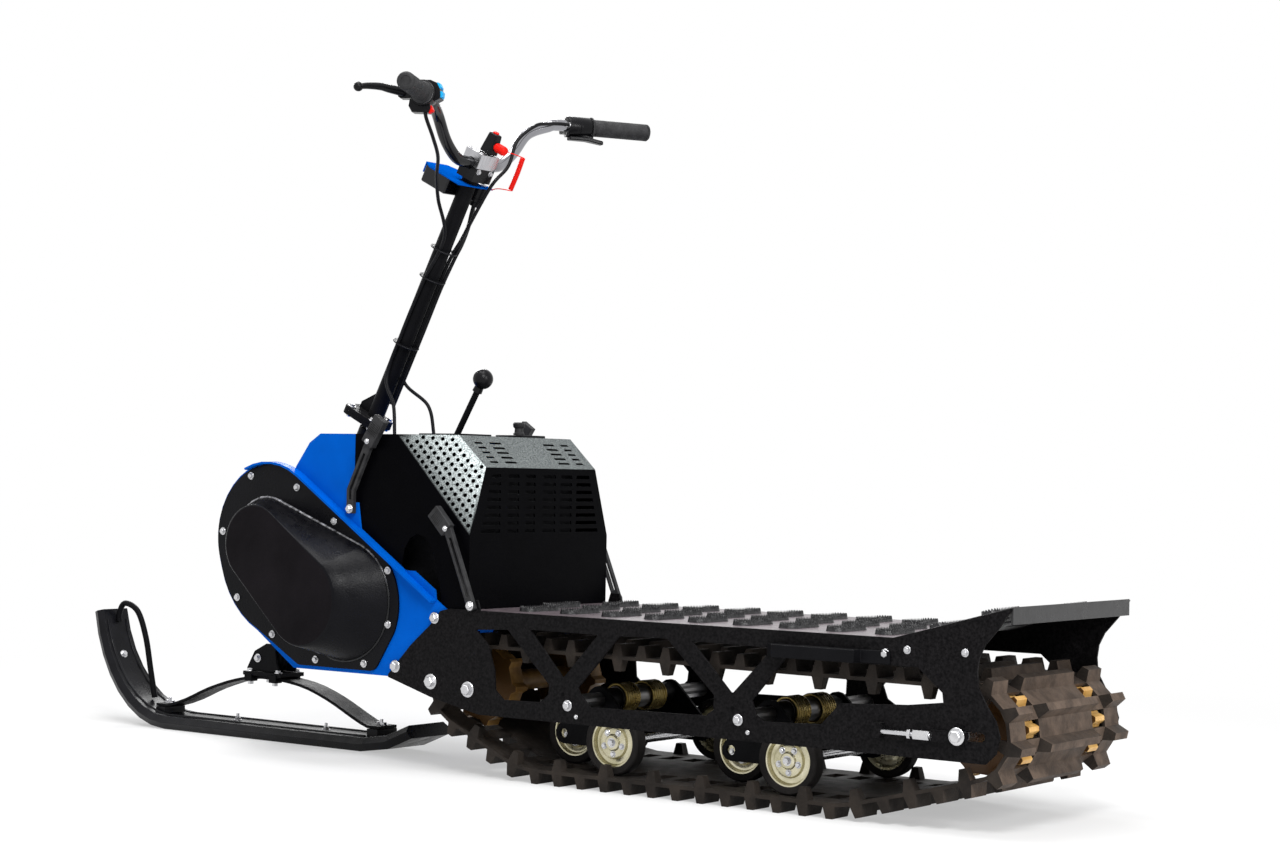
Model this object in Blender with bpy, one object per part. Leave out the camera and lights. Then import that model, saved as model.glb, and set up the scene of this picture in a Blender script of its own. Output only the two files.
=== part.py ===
"""Compact stand-on snowmobile: one steered ski in front, one rubber track under a deck.

Metres, +X forward, +Y to the rider's left, +Z up. Sizes are measured from the deck's
rear fold (x), the machine's middle plane (y) and the ground (z). At the end every part
is moved so that the origin lies on the ground under the middle of the machine.
"""
import bpy
import bmesh
from math import acos, atan2, ceil, cos, degrees, hypot, pi, radians, sin
from mathutils import Matrix, Vector

# Driving sizes: frame and deck
FIT = 0.0003                # gap between pieces that touch
SHEET = 0.004               # side plates and deck
THIN_SHEET = 0.003          # hood and cowl
HALF_WIDTH = 0.210          # middle plane to the outside of a side plate
DECK_HEIGHT = 0.295
BED_DROP = 0.001            # how much lower the deck lies under the hood and the engine
BED_HEIGHT = DECK_HEIGHT - BED_DROP
BED_START = 0.862
NECK_X = 0.900              # ahead of it the deck is narrower, between the side panels
TAIL_X = -0.204
TAIL_HEIGHT = 0.352
TAIL_LIP = 0.027

# Driving sizes: track and its wheels
TRACK_WIDTH = 0.380
BELT = 0.006
LUG_HEIGHT = 0.020
LUG_PITCH = 0.050
SPROCKET_TEETH = 9
SLEEVE_RADIUS = 0.026       # sleeve that joins the two wheels of a sprocket
DRIVE_AXLE = (0.887, 0.160)
REAR_AXLE = (-0.121, 0.153)
RUN_PAST_FRONT = 0.002      # how far the flat lower run goes past the bogie wheels
RUN_PAST_REAR = 0.096
RUN_BEND = 0.160            # radius of the belt where it lifts off the ground
WINDOW_MID = 0.116          # middle of the two rows of windows
WINDOW_WIDTH = 0.046
WINDOW_SHARE = 0.56         # of one pitch
AXLE_RADIUS = 0.0125
STUD_RADIUS = 0.0065
BOLT_RADIUS = 0.010
TENSIONER_STOP = 0.013      # tab on the side plate that the tensioner's rod pushes on
STEP_BAR = (0.055, 0.207)
STEP_TOP = DECK_HEIGHT - 0.021
STEP_LOW = STEP_TOP - 0.0205
STEP_REACH = 0.236          # middle plane to the step bar
STEP_TAPER = 0.025          # how much longer the step bar is at the side plate
STEP_EAR = 0.052            # bolted ear behind the step bar

# Driving sizes: bogies
WHEEL_RADIUS = 0.056
DISC_RADIUS = 0.043
WHEEL_WIDTH = 0.026
OUTER_WHEEL_Y = 0.156
INNER_WHEEL_Y = 0.068
BOGIE_PIVOTS = ((0.290, 0.148), (0.644, 0.146))
WHEEL_STEP_BACK = 0.074     # from a pivot back to its outer wheels
WHEEL_STEP_FRONT = 0.076    # from a pivot forward to its inner wheels

# Driving sizes: body
HOOD_REAR = 0.867
HOOD_FRONT = 1.146
HOOD_TOP = 0.604
HOOD_REAR_TOP = 0.547       # height where the rear face leans forward
HOOD_TOP_REAR = 0.930       # where the flat top begins
CHAMFER_LOW = 0.423         # height of the chamfer on the rear edge
CHAMFER_FRONT = 1.045       # where the chamfer ends on the top edge
CHAMFER_HALF = 0.163        # half width left between the chamfers
REAR_LATCH = ((0.849, DECK_HEIGHT + 0.008), (0.878, 0.372), (0.906, 0.437), (0.938, 0.468))
FRONT_LATCH = ((1.145, 0.466), (1.145, 0.500), (1.101, 0.590), (1.072, 0.632))
LATCH_HALF = 0.0085         # each latch: bolt, bend, keeper and end of the handle
LATCH_SLOT = 0.0030
LATCH_THICK = 0.009
HANDLE_HALF = 0.014
HANDLE_THICK = 0.014
COVER_DEPTH = 0.080
ROUND_CENTRE = (1.352, 0.407)   # round front end of the side panels and the belt cover
ROUND_RADIUS = 0.1435
ROUND_END = 123             # where the round top meets the straight rear edge, in degrees
BELLY_CENTRE = (1.310, 0.395)   # wider curve of the front end below the round
BELLY_RADIUS = 0.180
BELLY_ARC = (-66, -16)
PANEL_RIM = 0.005           # strip of the side panel left bare round the belt cover
PANEL_FOOT = (0.912, 0.2915)    # lower end of the straight rear edge
LIP_START = 0.937           # where the folded lip begins on that edge
COVER_BACK = ((1.1455, 0.2935), 0.1205, ROUND_END, 205)     # flange: centre, radius, angles
COVER_HEEL = ((1.092, 0.195), 0.022, 212, 270)
COVER_TOE = ((1.266, 0.191), 0.018, -90, -62)
DOME_BASE = (((1.157, 0.297), 0.110), ((1.360, 0.403), 0.080))
DOME_FACE = (((1.197, 0.298), 0.083), ((1.319, 0.397), 0.072))
ENGINE_REAR = 0.905
ENGINE_FRONT = 1.200
ENGINE_HALF = 0.150
ENGINE_TOP = 0.560
LEVER_Y = 0.030
LEVER_FOOT = 1.074
LEVER_BACK = 0.086          # how far the lever leans back to its knob
LEVER_RADIUS = 0.006
KNOB_RISE = 0.107           # from the hood's top to the middle of the knob
KNOB_RADIUS = 0.019
LEVER_SLOT = (1.015, 1.090)
NOSE_REACH = 0.056          # from the steering axis to the front of the nose
NOSE_HALF = 0.060
LIP_DEPTH = 0.016
LIP_END = 65                # where the lip ends on the round, in degrees

# Driving sizes: steering
AXIS_FOOT = (1.3015, HOOD_TOP)  # the steering axis at the top of the cowl
AXIS_LEAN = radians(26.9)    # it leans back from the vertical
STEM_RADIUS = 0.0175
HEAD_WALL = 0.004
COLUMN_RADIUS = 0.016
COLUMN_TOP = 0.548          # along the axis, from the top of the cowl
DASH_DROP = 0.012           # from the mast's top down to the underside of the console
FLANGE = 0.008
FLANGE_LOW = 0.025          # underside of the lower flange, along the axis
FLANGE_BACK = -0.016
FLANGE_FRONT = 0.045
FLANGE_HALF = 0.024
BAR_RADIUS = 0.011
BAR_CLEAR = 0.0008
CLAMP_OVER_BAR = 0.024
GRIP_RADIUS = 0.0165
GRIP_LENGTH = 0.125
BAR_HALF = 0.357
BAR_HEIGHT = 1.213
CABLE_RADIUS = 0.0035
CABLE_LINE = 0.020          # middle of the mast to the middle of a cable beside it
COIL_OUTSIDE = 0.005
CORD_SHARE = 0.30
CAP_Y = -0.014              # red cap of the kill switch
CAP_RADIUS = 0.009
CAP_RISE = 0.018
HOUSING_RADIUS = 0.024
THROTTLE_RADIUS = 0.019

# Driving sizes: ski
SKI_HALF = 0.062
SKI_REAR = 1.125
SKI_BEND = 1.800            # where the toe begins to rise
TOE = (2.038, 0.227)
SPRING_WIDTH = 0.050
SPRING_THICK = 0.006
SADDLE = 0.008


# Colours
COLOURS = {
    "black_paint": ((0.020, 0.020, 0.022), 0.35, 0.0),
    "blue_paint": ((0.000, 0.160, 0.560), 0.35, 0.0),
    "rubber": ((0.030, 0.026, 0.024), 0.80, 0.0),
    "black_plastic": ((0.022, 0.022, 0.024), 0.50, 0.0),
    "zinc": ((0.620, 0.580, 0.460), 0.35, 0.9),
    "bright_steel": ((0.600, 0.600, 0.610), 0.30, 1.0),
    "amber": ((0.620, 0.360, 0.110), 0.45, 0.0),
    "gold_spring": ((0.500, 0.370, 0.120), 0.35, 0.8),
    "hood_paint": ((0.035, 0.036, 0.040), 0.45, 0.1),
    "red": ((0.620, 0.030, 0.015), 0.40, 0.0),
    "engine": ((0.120, 0.120, 0.125), 0.55, 0.6),
}


def clear_scene():
    for obj in list(bpy.data.objects):
        bpy.data.objects.remove(obj, do_unlink=True)


def material(name):
    found = bpy.data.materials.get(name)
    if found:
        return found
    colour, rough, metal = COLOURS[name]
    made = bpy.data.materials.new(name)
    made.use_nodes = True
    shader = made.node_tree.nodes["Principled BSDF"]
    shader.inputs["Base Color"].default_value = (*colour, 1.0)
    shader.inputs["Roughness"].default_value = rough
    shader.inputs["Metallic"].default_value = metal
    return made


# Shape helpers
def arc(centre, radius, start, end, steps):
    """Points on an arc from one angle to another, in degrees."""
    points = []
    for i in range(steps + 1):
        angle = radians(start + (end - start) * i / steps)
        points.append((centre[0] + radius * cos(angle), centre[1] + radius * sin(angle)))
    return points


def hull_of_circles(circles, steps=8):
    """Outline of a belt drawn tight round circles (centre, radius), counter-clockwise."""
    outline = []
    count = len(circles)
    normals = []
    for i in range(count):
        (a, ra), (b, rb) = circles[i], circles[(i + 1) % count]
        away = atan2(b[1] - a[1], b[0] - a[0])
        normals.append(away - acos((ra - rb) / hypot(b[0] - a[0], b[1] - a[1])))
    for i in range(count):
        centre, radius = circles[i]
        start = normals[i - 1]
        end = normals[i]
        while end < start:
            end += 2 * pi
        outline += arc(centre, radius, degrees(start), degrees(end), steps)
    return outline


def sheet(outline, thickness, holes=()):
    """Flat sheet with holes: outline in local XY, thickness along local +Z."""
    bm = bmesh.new()
    edges = []
    for loop in (outline, *holes):
        verts = [bm.verts.new((u, v, 0.0)) for u, v in loop]
        for a, b in zip(verts, verts[1:] + verts[:1]):
            edges.append(bm.edges.new((a, b)))
    filled = bmesh.ops.triangle_fill(bm, use_beauty=True, use_dissolve=False, edges=edges)
    faces = [g for g in filled["geom"] if isinstance(g, bmesh.types.BMFace)]
    raised = bmesh.ops.extrude_face_region(bm, geom=faces)
    verts = [g for g in raised["geom"] if isinstance(g, bmesh.types.BMVert)]
    bmesh.ops.translate(bm, verts=verts, vec=(0.0, 0.0, thickness))
    return bm


def turned(profile, segments=24, ring=False):
    """Solid turned about local Z from (radius, height) pairs; a ring's profile closes."""
    bm = bmesh.new()
    rows = []
    for radius, height in profile:
        if radius == 0.0:
            rows.append([bm.verts.new((0.0, 0.0, height))])
            continue
        row = []
        for i in range(segments):
            angle = 2 * pi * i / segments
            row.append(bm.verts.new((radius * cos(angle), radius * sin(angle), height)))
        rows.append(row)
    pairs = list(zip(rows, rows[1:]))
    if ring:
        pairs.append((rows[-1], rows[0]))
    for low, high in pairs:
        for i in range(segments):
            j = (i + 1) % segments
            corners = [low[i % len(low)], low[j % len(low)],
                       high[j % len(high)], high[i % len(high)]]
            corners = list(dict.fromkeys(corners))
            bm.faces.new(corners)
    if not ring:
        for row in (rows[0], rows[-1]):
            if len(row) > 1:
                bm.faces.new(row)
    return bm


def block(low, high):
    """Box between two corners."""
    bm = bmesh.new()
    bmesh.ops.create_cube(bm, size=1.0)
    size = Vector(high) - Vector(low)
    middle = (Vector(high) + Vector(low)) / 2
    bmesh.ops.scale(bm, vec=size, verts=bm.verts)
    bmesh.ops.translate(bm, vec=middle, verts=bm.verts)
    return bm


def loft(sections):
    """Closed solid through sections that have the same number of points."""
    bm = bmesh.new()
    rows = [[bm.verts.new(point) for point in section] for section in sections]
    count = len(rows[0])
    for low, high in zip(rows, rows[1:]):
        for i in range(count):
            j = (i + 1) % count
            bm.faces.new((low[i], low[j], high[j], high[i]))
    bm.faces.new(rows[0])
    bm.faces.new(rows[-1])
    return bm


def smooth_path(points, spacing):
    """Points about one spacing apart on a smooth curve through the given points."""
    knots = [Vector(p) for p in points]
    knots = [2 * knots[0] - knots[1], *knots, 2 * knots[-1] - knots[-2]]
    path = []
    for a, b, c, d in zip(knots, knots[1:], knots[2:], knots[3:]):
        steps = max(1, ceil((c - b).length / spacing))
        for i in range(steps):
            t = i / steps
            path.append(0.5 * (2 * b + (c - a) * t + (2 * a - 5 * b + 4 * c - d) * t ** 2
                               + (3 * b - a - 3 * c + d) * t ** 3))
    path.append(knots[-2])
    return path


def facing(direction, origin=(0.0, 0.0, 0.0)):
    """Matrix that turns local +Z to a direction and moves to an origin."""
    turn = Vector(direction).to_track_quat("Z", "Y").to_matrix().to_4x4()
    return Matrix.Translation(origin) @ turn


def upright(y):
    """Local XY becomes the XZ plane at y, with thickness towards +Y."""
    turn = Matrix(((1, 0, 0, 0), (0, 0, 1, y), (0, 1, 0, 0), (0, 0, 0, 1)))
    return turn


def rod(start, end, radius, segments=16):
    """Round bar between two points."""
    start = Vector(start)
    reach = Vector(end) - start
    bm = turned([(0.0, 0.0), (radius, 0.0), (radius, reach.length), (0.0, reach.length)],
                segments)
    bm.transform(facing(reach, start))
    return bm


def join(bm, other):
    """Put one bmesh's geometry into another and free it."""
    mesh = bpy.data.meshes.new("join")
    other.to_mesh(mesh)
    other.free()
    bm.from_mesh(mesh)
    bpy.data.meshes.remove(mesh)
    return bm


def ribbon(path, half):
    """Outline of a flat strip of one half width along a bent line."""
    left = []
    right = []
    for i, place in enumerate(path):
        place = Vector(place)
        into = (place - Vector(path[i - 1])).normalized() if i else None
        out = (Vector(path[i + 1]) - place).normalized() if i + 1 < len(path) else None
        along = ((into or out) + (out or into)).normalized()
        reach = half / max(along.dot(out or into), 0.5)
        normal = Vector((-along.y, along.x)) * reach
        left.append(tuple(place + normal))
        right.append(tuple(place - normal))
    return left + right[::-1]


def part(name, bm, paint, smooth=None):
    """Object from a bmesh, with outward faces and its own material."""
    bmesh.ops.recalc_face_normals(bm, faces=bm.faces)
    if bm.calc_volume(signed=True) < 0.0:
        bmesh.ops.reverse_faces(bm, faces=bm.faces)
    mesh = bpy.data.meshes.new(name)
    bm.to_mesh(mesh)
    bm.free()
    obj = bpy.data.objects.new(name, mesh)
    bpy.context.scene.collection.objects.link(obj)
    mesh.materials.append(material(paint))
    if smooth:
        mesh.shade_smooth()
        mesh.set_sharp_from_angle(angle=radians(smooth))
    return obj


def combine(obj, tool, operation):
    """Boolean of an object with a bmesh tool, kept as the object's own mesh."""
    other = part(obj.name + "_tool", tool, obj.data.materials[0].name)
    cut = obj.modifiers.new("boolean", "BOOLEAN")
    cut.operation = operation
    cut.solver = "EXACT"
    cut.object = other
    bake(obj)
    bpy.data.objects.remove(other, do_unlink=True)
    return obj


def bake(obj):
    """Make an object's modifiers part of its own mesh."""
    graph = bpy.context.evaluated_depsgraph_get()
    mesh = bpy.data.meshes.new_from_object(obj.evaluated_get(graph))
    obj.modifiers.clear()
    obj.data = mesh
    mesh.name = obj.name
    return obj


def shell(name, bm, paint):
    """Thin wall inside an open surface whose faces already point outwards."""
    mesh = bpy.data.meshes.new(name)
    bm.to_mesh(mesh)
    bm.free()
    obj = bpy.data.objects.new(name, mesh)
    bpy.context.scene.collection.objects.link(obj)
    mesh.materials.append(material(paint))
    wall = obj.modifiers.new("wall", "SOLIDIFY")
    wall.thickness = THIN_SHEET
    wall.offset = -1.0
    wall.use_even_offset = True
    return bake(obj)


def add(obj, *tools):
    for tool in tools:
        combine(obj, tool, "UNION")
    return obj


def cut(obj, *tools):
    for tool in tools:
        combine(obj, tool, "DIFFERENCE")
    return obj


def tube(name, points, radius, paint, spacing, sides=3):
    """Round bar or cord along a smooth route, with closed ends."""
    curve = bpy.data.curves.new(name, "CURVE")
    curve.dimensions = "3D"
    curve.bevel_depth = radius
    curve.bevel_resolution = sides
    curve.use_fill_caps = True
    path = smooth_path(points, spacing)
    line = curve.splines.new("POLY")
    line.points.add(len(path) - 1)
    for knot, place in zip(line.points, path):
        knot.co = (*place, 1.0)
    obj = bpy.data.objects.new(name, curve)
    bpy.context.scene.collection.objects.link(obj)
    curve.materials.append(material(paint))
    return obj


# Steering axis
HEAD_BORE = STEM_RADIUS + 0.0005
HEAD_RADIUS = HEAD_BORE + HEAD_WALL
AXIS = Vector((-sin(AXIS_LEAN), 0.0, cos(AXIS_LEAN)))


def on_axis(height):
    """Point of the steering axis at a height above the ground."""
    run = (height - AXIS_FOOT[1]) / AXIS.z
    return Vector((AXIS_FOOT[0], 0.0, AXIS_FOOT[1])) + AXIS * run


def axis_frame(height):
    """Local +Z up the steering axis, local +X forward, from the axis at a height."""
    return Matrix.Translation(on_axis(height)) @ Matrix.Rotation(-AXIS_LEAN, 4, "Y")


# Side plates
INNER = HALF_WIDTH - SHEET          # inside face of a side plate
PANEL_OUT = INNER - FIT             # faces of the blue side panels
PANEL_IN = PANEL_OUT - SHEET
HOOD_HALF = PANEL_IN - FIT
PLATE_FOOT = 0.113
WINDOW_TOP = DECK_HEIGHT - 0.027    # upper corners of the windows hang below the deck
PLATE_WINDOWS = (
    ((0.841, WINDOW_TOP - 0.007), (0.769, WINDOW_TOP - 0.003), (0.675, 0.176),
     (0.677, 0.159), (0.694, 0.145), (0.776, 0.143), (0.795, 0.159), (0.798, 0.194),
     (0.813, WINDOW_TOP - 0.032)),
    ((0.720, WINDOW_TOP), (0.572, WINDOW_TOP - 0.001), (0.645, 0.190)),
    ((0.526, WINDOW_TOP), (0.429, WINDOW_TOP + 0.001), (0.333, 0.183), (0.334, 0.159),
     (0.348, 0.148), (0.586, 0.144), (0.608, 0.164), (0.613, 0.175)),
    ((0.379, WINDOW_TOP), (0.220, WINDOW_TOP - 0.002), (0.298, 0.187)),
    ((0.195, WINDOW_TOP - 0.016), (-0.045, WINDOW_TOP - 0.016), (-0.088, 0.216),
     (-0.090, 0.201), (-0.027, 0.193), (0.093, 0.187), (0.128, 0.151), (0.235, 0.147),
     (0.250, 0.156), (0.259, 0.179)),
)


def side_plate(name, side):
    tail = [(-0.163, PLATE_FOOT), (-0.181, 0.130), (-0.187, 0.156), (-0.180, 0.179),
            (-0.163, 0.203), (-0.149, 0.228), (-0.147, 0.252), (-0.150, 0.273),
            (-0.160, 0.293), (-0.184, 0.320), (TAIL_X, TAIL_HEIGHT - 0.002)]
    ear = REAR_LATCH[0]
    nose = [(0.0, DECK_HEIGHT), (ear[0] - 0.016, DECK_HEIGHT), (ear[0] - 0.010, ear[1] + 0.010),
            (ear[0] + 0.010, ear[1] + 0.010), (ear[0] + 0.016, DECK_HEIGHT),
            (0.905, DECK_HEIGHT), (0.925, DECK_HEIGHT - 0.005), (0.948, DECK_HEIGHT - 0.031),
            (0.993, 0.226), (1.046, 0.170), (1.046, 0.165), (0.944, 0.136),
            (0.832, PLATE_FOOT)]
    bm = sheet(tail + nose, SHEET, PLATE_WINDOWS + (axle_slot(),))
    bm.transform(upright(INNER))
    obj = part(name, bm, "black_paint")
    inside = HALF_WIDTH - SHEET / 2
    add(obj, block((TENSIONER_STOP, inside, REAR_AXLE[1] - 0.013),
                   (TENSIONER_STOP + 0.014, HALF_WIDTH + 0.014, REAR_AXLE[1] + 0.010)))
    return obj if side > 0 else to_right(obj)


def to_right(obj):
    """Turn a piece of the left side into its mirror image on the right."""
    obj.data.transform(Matrix.Scale(-1.0, 4, (0.0, 1.0, 0.0)))
    obj.data.flip_normals()
    return obj


def step_bar(name, side):
    """Foot bar bolted to the side plate, tapered at its front end, with an ear behind."""
    rear, front = STEP_BAR
    seat = HALF_WIDTH + FIT
    outline = [(rear - STEP_EAR, seat), (rear - STEP_EAR, seat + SHEET), (rear, seat + SHEET),
               (rear, STEP_REACH), (front, STEP_REACH), (front + STEP_TAPER, seat)]
    bm = sheet(outline, STEP_TOP - STEP_LOW)
    bm.transform(Matrix.Translation((0.0, 0.0, STEP_LOW)))
    obj = part(name, bm, "black_paint")
    return obj if side > 0 else to_right(obj)


def axle_slot():
    """Slot in which the rear axle's stud slides when the track is tightened."""
    half = STUD_RADIUS + 0.0007
    height = REAR_AXLE[1]
    rear = arc((-0.155, height), half, 90, 270, 5)
    return rear + arc((REAR_AXLE[0] + 0.006, height), half, -90, 90, 5)


def nose_front(height):
    """Front of the nose: it leans with the head tube and stands clear of it."""
    return on_axis(height).x + NOSE_REACH


def deck():
    """Flat plate that rises to a lip behind; the engine stands on its front end."""
    front = nose_front(DECK_HEIGHT)
    profile = [(front, BED_HEIGHT), (BED_START, BED_HEIGHT), (BED_START, DECK_HEIGHT),
               (0.0, DECK_HEIGHT), (TAIL_X, TAIL_HEIGHT),
               (TAIL_X, TAIL_HEIGHT - TAIL_LIP), (TAIL_X + SHEET, TAIL_HEIGHT - TAIL_LIP),
               (TAIL_X + SHEET, TAIL_HEIGHT - SHEET * 2), (0.0, DECK_HEIGHT - SHEET),
               (front, DECK_HEIGHT - SHEET)]
    half = INNER - FIT
    bm = sheet(profile, 2 * half)
    bm.transform(upright(-half))
    obj = part("deck", bm, "black_paint")
    for side in (-1, 1):
        outline = [(NECK_X, side * HOOD_HALF), (COWL_CORNERS[-1][1], side * HOOD_HALF),
                   (front, side * NOSE_HALF), (front + SHEET, side * NOSE_HALF),
                   (front + SHEET, side * 2 * half), (NECK_X, side * 2 * half)]
        strip = sheet(outline, 3 * SHEET)
        strip.transform(Matrix.Translation((0.0, 0.0, DECK_HEIGHT - 2 * SHEET)))
        cut(obj, strip)
    middle = on_axis(DECK_HEIGHT - SHEET / 2)
    hole = rod(middle - AXIS * 0.03, middle + AXIS * 0.03, HEAD_RADIUS + FIT, 20)
    return cut(obj, hole)


# Track
BELT_OUT = LUG_HEIGHT + BELT                    # inside face of the lower run
PITCH_RADIUS = SPROCKET_TEETH * LUG_PITCH / (2 * pi)
GROUND_FRONT = BOGIE_PIVOTS[-1][0] + WHEEL_STEP_FRONT + RUN_PAST_FRONT
GROUND_REAR = BOGIE_PIVOTS[0][0] - WHEEL_STEP_BACK - RUN_PAST_REAR


def tangent_run(a, ra, b, rb):
    """Ends of the straight that runs outside two circles, on the right of a to b."""
    away = atan2(b[1] - a[1], b[0] - a[0])
    turn = away - acos((ra - rb) / hypot(b[0] - a[0], b[1] - a[1]))
    unit = (cos(turn), sin(turn))
    first = (a[0] + ra * unit[0], a[1] + ra * unit[1])
    last = (b[0] + rb * unit[0], b[1] + rb * unit[1])
    return first, last


def track_loop():
    """Middle line of the belt as straights and arcs, counter-clockwise from the side."""
    lower = LUG_HEIGHT + BELT / 2
    circles = [(REAR_AXLE, PITCH_RADIUS),
               ((GROUND_REAR, lower + RUN_BEND), RUN_BEND),
               ((GROUND_FRONT, lower + RUN_BEND), RUN_BEND),
               (DRIVE_AXLE, PITCH_RADIUS)]
    pieces = []
    count = len(circles)
    for i in range(count):
        (a, ra), (b, rb) = circles[i], circles[(i + 1) % count]
        pieces.append(tangent_run(a, ra, b, rb))
    loop = []
    for i in range(count):
        centre, radius = circles[i]
        into = pieces[i - 1][1]
        out = pieces[i][0]
        start = atan2(into[1] - centre[1], into[0] - centre[0])
        end = atan2(out[1] - centre[1], out[0] - centre[0])
        while end < start:
            end += 2 * pi
        loop.append(("arc", centre, radius, start, end))
        loop.append(("line", pieces[i][0], pieces[i][1]))
    return loop


def length_of(piece):
    if piece[0] == "arc":
        return piece[2] * (piece[4] - piece[3])
    return hypot(piece[2][0] - piece[1][0], piece[2][1] - piece[1][1])


def loop_point(loop, run):
    """Point and outward direction at a distance along the loop."""
    run = run % sum(length_of(piece) for piece in loop)
    for piece in loop:
        long = length_of(piece)
        if run <= long:
            break
        run -= long
    if piece[0] == "arc":
        angle = piece[3] + run / piece[2]
        out = Vector((cos(angle), 0.0, sin(angle)))
        centre = Vector((piece[1][0], 0.0, piece[1][1]))
        return centre + out * piece[2], out
    a = Vector((piece[1][0], 0.0, piece[1][1]))
    b = Vector((piece[2][0], 0.0, piece[2][1]))
    along = (b - a).normalized()
    return a + along * run, Vector((along.z, 0.0, -along.x))


GUIDE_LUG = (0.172, 0.187)      # inner guide lugs near the belt's edges
LUG_TAPER = 0.55


def belt_layout():
    """Loop, number of pitches, true pitch and start of the first window."""
    loop = track_loop()
    total = sum(length_of(piece) for piece in loop)
    pitches = 2 * round(total / LUG_PITCH / 2)
    step = total / pitches
    start = (length_of(loop[0]) - WINDOW_SHARE * step) / 2
    return loop, pitches, step, start


def tooth_phase(axle):
    """Angle of the window nearest the middle of the belt's wrap round an axle."""
    loop, _, step, start = belt_layout()
    run = 0.0
    for piece in loop:
        if piece[0] == "arc" and piece[1] == axle:
            break
        run += length_of(piece)
    first = start + WINDOW_SHARE * step / 2
    middle = run + length_of(piece) / 2
    window = first + step * round((middle - first) / step)
    return piece[3] + (window - run) / piece[2]


def track():
    """Belt with two rows of windows, outer lugs on every web, guide lugs inside."""
    loop, pitches, step, start = belt_layout()
    edge = TRACK_WIDTH / 2
    outer = WINDOW_MID + WINDOW_WIDTH / 2
    inner = WINDOW_MID - WINDOW_WIDTH / 2
    columns = (-edge, -GUIDE_LUG[0], -outer, -inner, inner, outer, GUIDE_LUG[0], edge)
    bm = bmesh.new()
    rows = []
    for i in range(pitches):
        for share in (0.0, WINDOW_SHARE):
            place, out = loop_point(loop, start + (i + share) * step)
            top = [bm.verts.new(place + out * BELT / 2 + Vector((0, y, 0))) for y in columns]
            low = [bm.verts.new(place - out * BELT / 2 + Vector((0, y, 0))) for y in columns]
            rows.append((top, low, out))
    last = len(columns) - 1
    windows = (2, 4)
    lug_faces = []
    guide_faces = []
    for k, (top, low, out) in enumerate(rows):
        top2, low2, out2 = rows[(k + 1) % len(rows)]
        is_window = k % 2 == 0
        for c in range(last):
            if is_window and c in windows:
                bm.faces.new((top[c], low[c], low[c + 1], top[c + 1]))
                bm.faces.new((top2[c], top2[c + 1], low2[c + 1], low2[c]))
                bm.faces.new((top[c], top2[c], low2[c], low[c]))
                bm.faces.new((top[c + 1], low[c + 1], low2[c + 1], top2[c + 1]))
                continue
            face = bm.faces.new((top[c], top[c + 1], top2[c + 1], top2[c]))
            under = bm.faces.new((low[c], low2[c], low2[c + 1], low[c + 1]))
            if not is_window and c not in windows:
                lug_faces.append((k, c, face, (out + out2).normalized()))
            if not is_window and k % 4 == 1 and c in (0, last - 1):
                guide_faces.append((under, -(out + out2).normalized()))
        bm.faces.new((top[0], top2[0], low2[0], low[0]))
        bm.faces.new((top[last], low[last], low2[last], top2[last]))
    groups = {}
    for k, c, face, out in lug_faces:
        side = 0 if c < 2 else (1 if c == 3 else 2)
        groups.setdefault((k, side), ([], out))[0].append(face)
    for faces, out in groups.values():
        raise_lug(bm, faces, out, LUG_HEIGHT, LUG_TAPER, 0.94)
    for face, out in guide_faces:
        raise_lug(bm, [face], out, LUG_HEIGHT, LUG_TAPER, 0.8)
    return part("track", bm, "rubber")


def raise_lug(bm, faces, out, height, taper, narrow):
    """Pull faces out of the belt and draw them in, along the belt and across it."""
    raised = bmesh.ops.extrude_face_region(bm, geom=faces)
    bmesh.ops.delete(bm, geom=faces, context="FACES_ONLY")
    verts = [g for g in raised["geom"] if isinstance(g, bmesh.types.BMVert)]
    middle = sum((v.co for v in verts), Vector()) / len(verts)
    across = Vector((0.0, 1.0, 0.0))
    along = out.cross(across)
    low = min((v.co - middle).dot(out) for v in verts)
    for vert in verts:
        arm = vert.co - middle
        vert.co = (middle + along * arm.dot(along) * taper + across * arm.dot(across) * narrow
                   + out * (low + height))


def sprockets(name, axle):
    """Two toothed wheels on one sleeve; the teeth reach through the belt's windows."""
    root = PITCH_RADIUS - BELT / 2 - 0.0015
    tip = PITCH_RADIUS + BELT / 2 + 0.002
    pitch = 2 * pi / SPROCKET_TEETH
    phase = tooth_phase(axle)
    outline = []
    for i in range(SPROCKET_TEETH):
        middle = phase + i * pitch
        for offset, radius in ((-0.20, root), (-0.07, tip), (0.07, tip), (0.20, root)):
            angle = middle + offset * pitch
            outline.append((radius * cos(angle), radius * sin(angle)))
    half = WINDOW_WIDTH / 2 - 0.006
    length = WINDOW_MID + half + 0.006
    bore = AXLE_RADIUS + FIT
    sleeve = turned([(bore, -length), (SLEEVE_RADIUS, -length), (SLEEVE_RADIUS, length),
                     (bore, length)], 16, ring=True)
    spin = Matrix.Rotation(-pi / 2, 4, "X")
    place = Matrix.Translation((axle[0], 0.0, axle[1]))
    sleeve.transform(place @ spin)
    obj = part(name, sleeve, "amber")
    for side in (-1, 1):
        wheel = sheet(outline, 2 * half, [arc((0.0, 0.0), SLEEVE_RADIUS - 0.002, 0, 330, 11)])
        wheel.transform(place @ upright(side * WINDOW_MID - half))
        add(obj, wheel)
    return obj


def axle(name, where, reach):
    bm = rod((where[0], -reach, where[1]), (where[0], reach, where[1]), AXLE_RADIUS)
    return part(name, bm, "bright_steel", 40)


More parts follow.
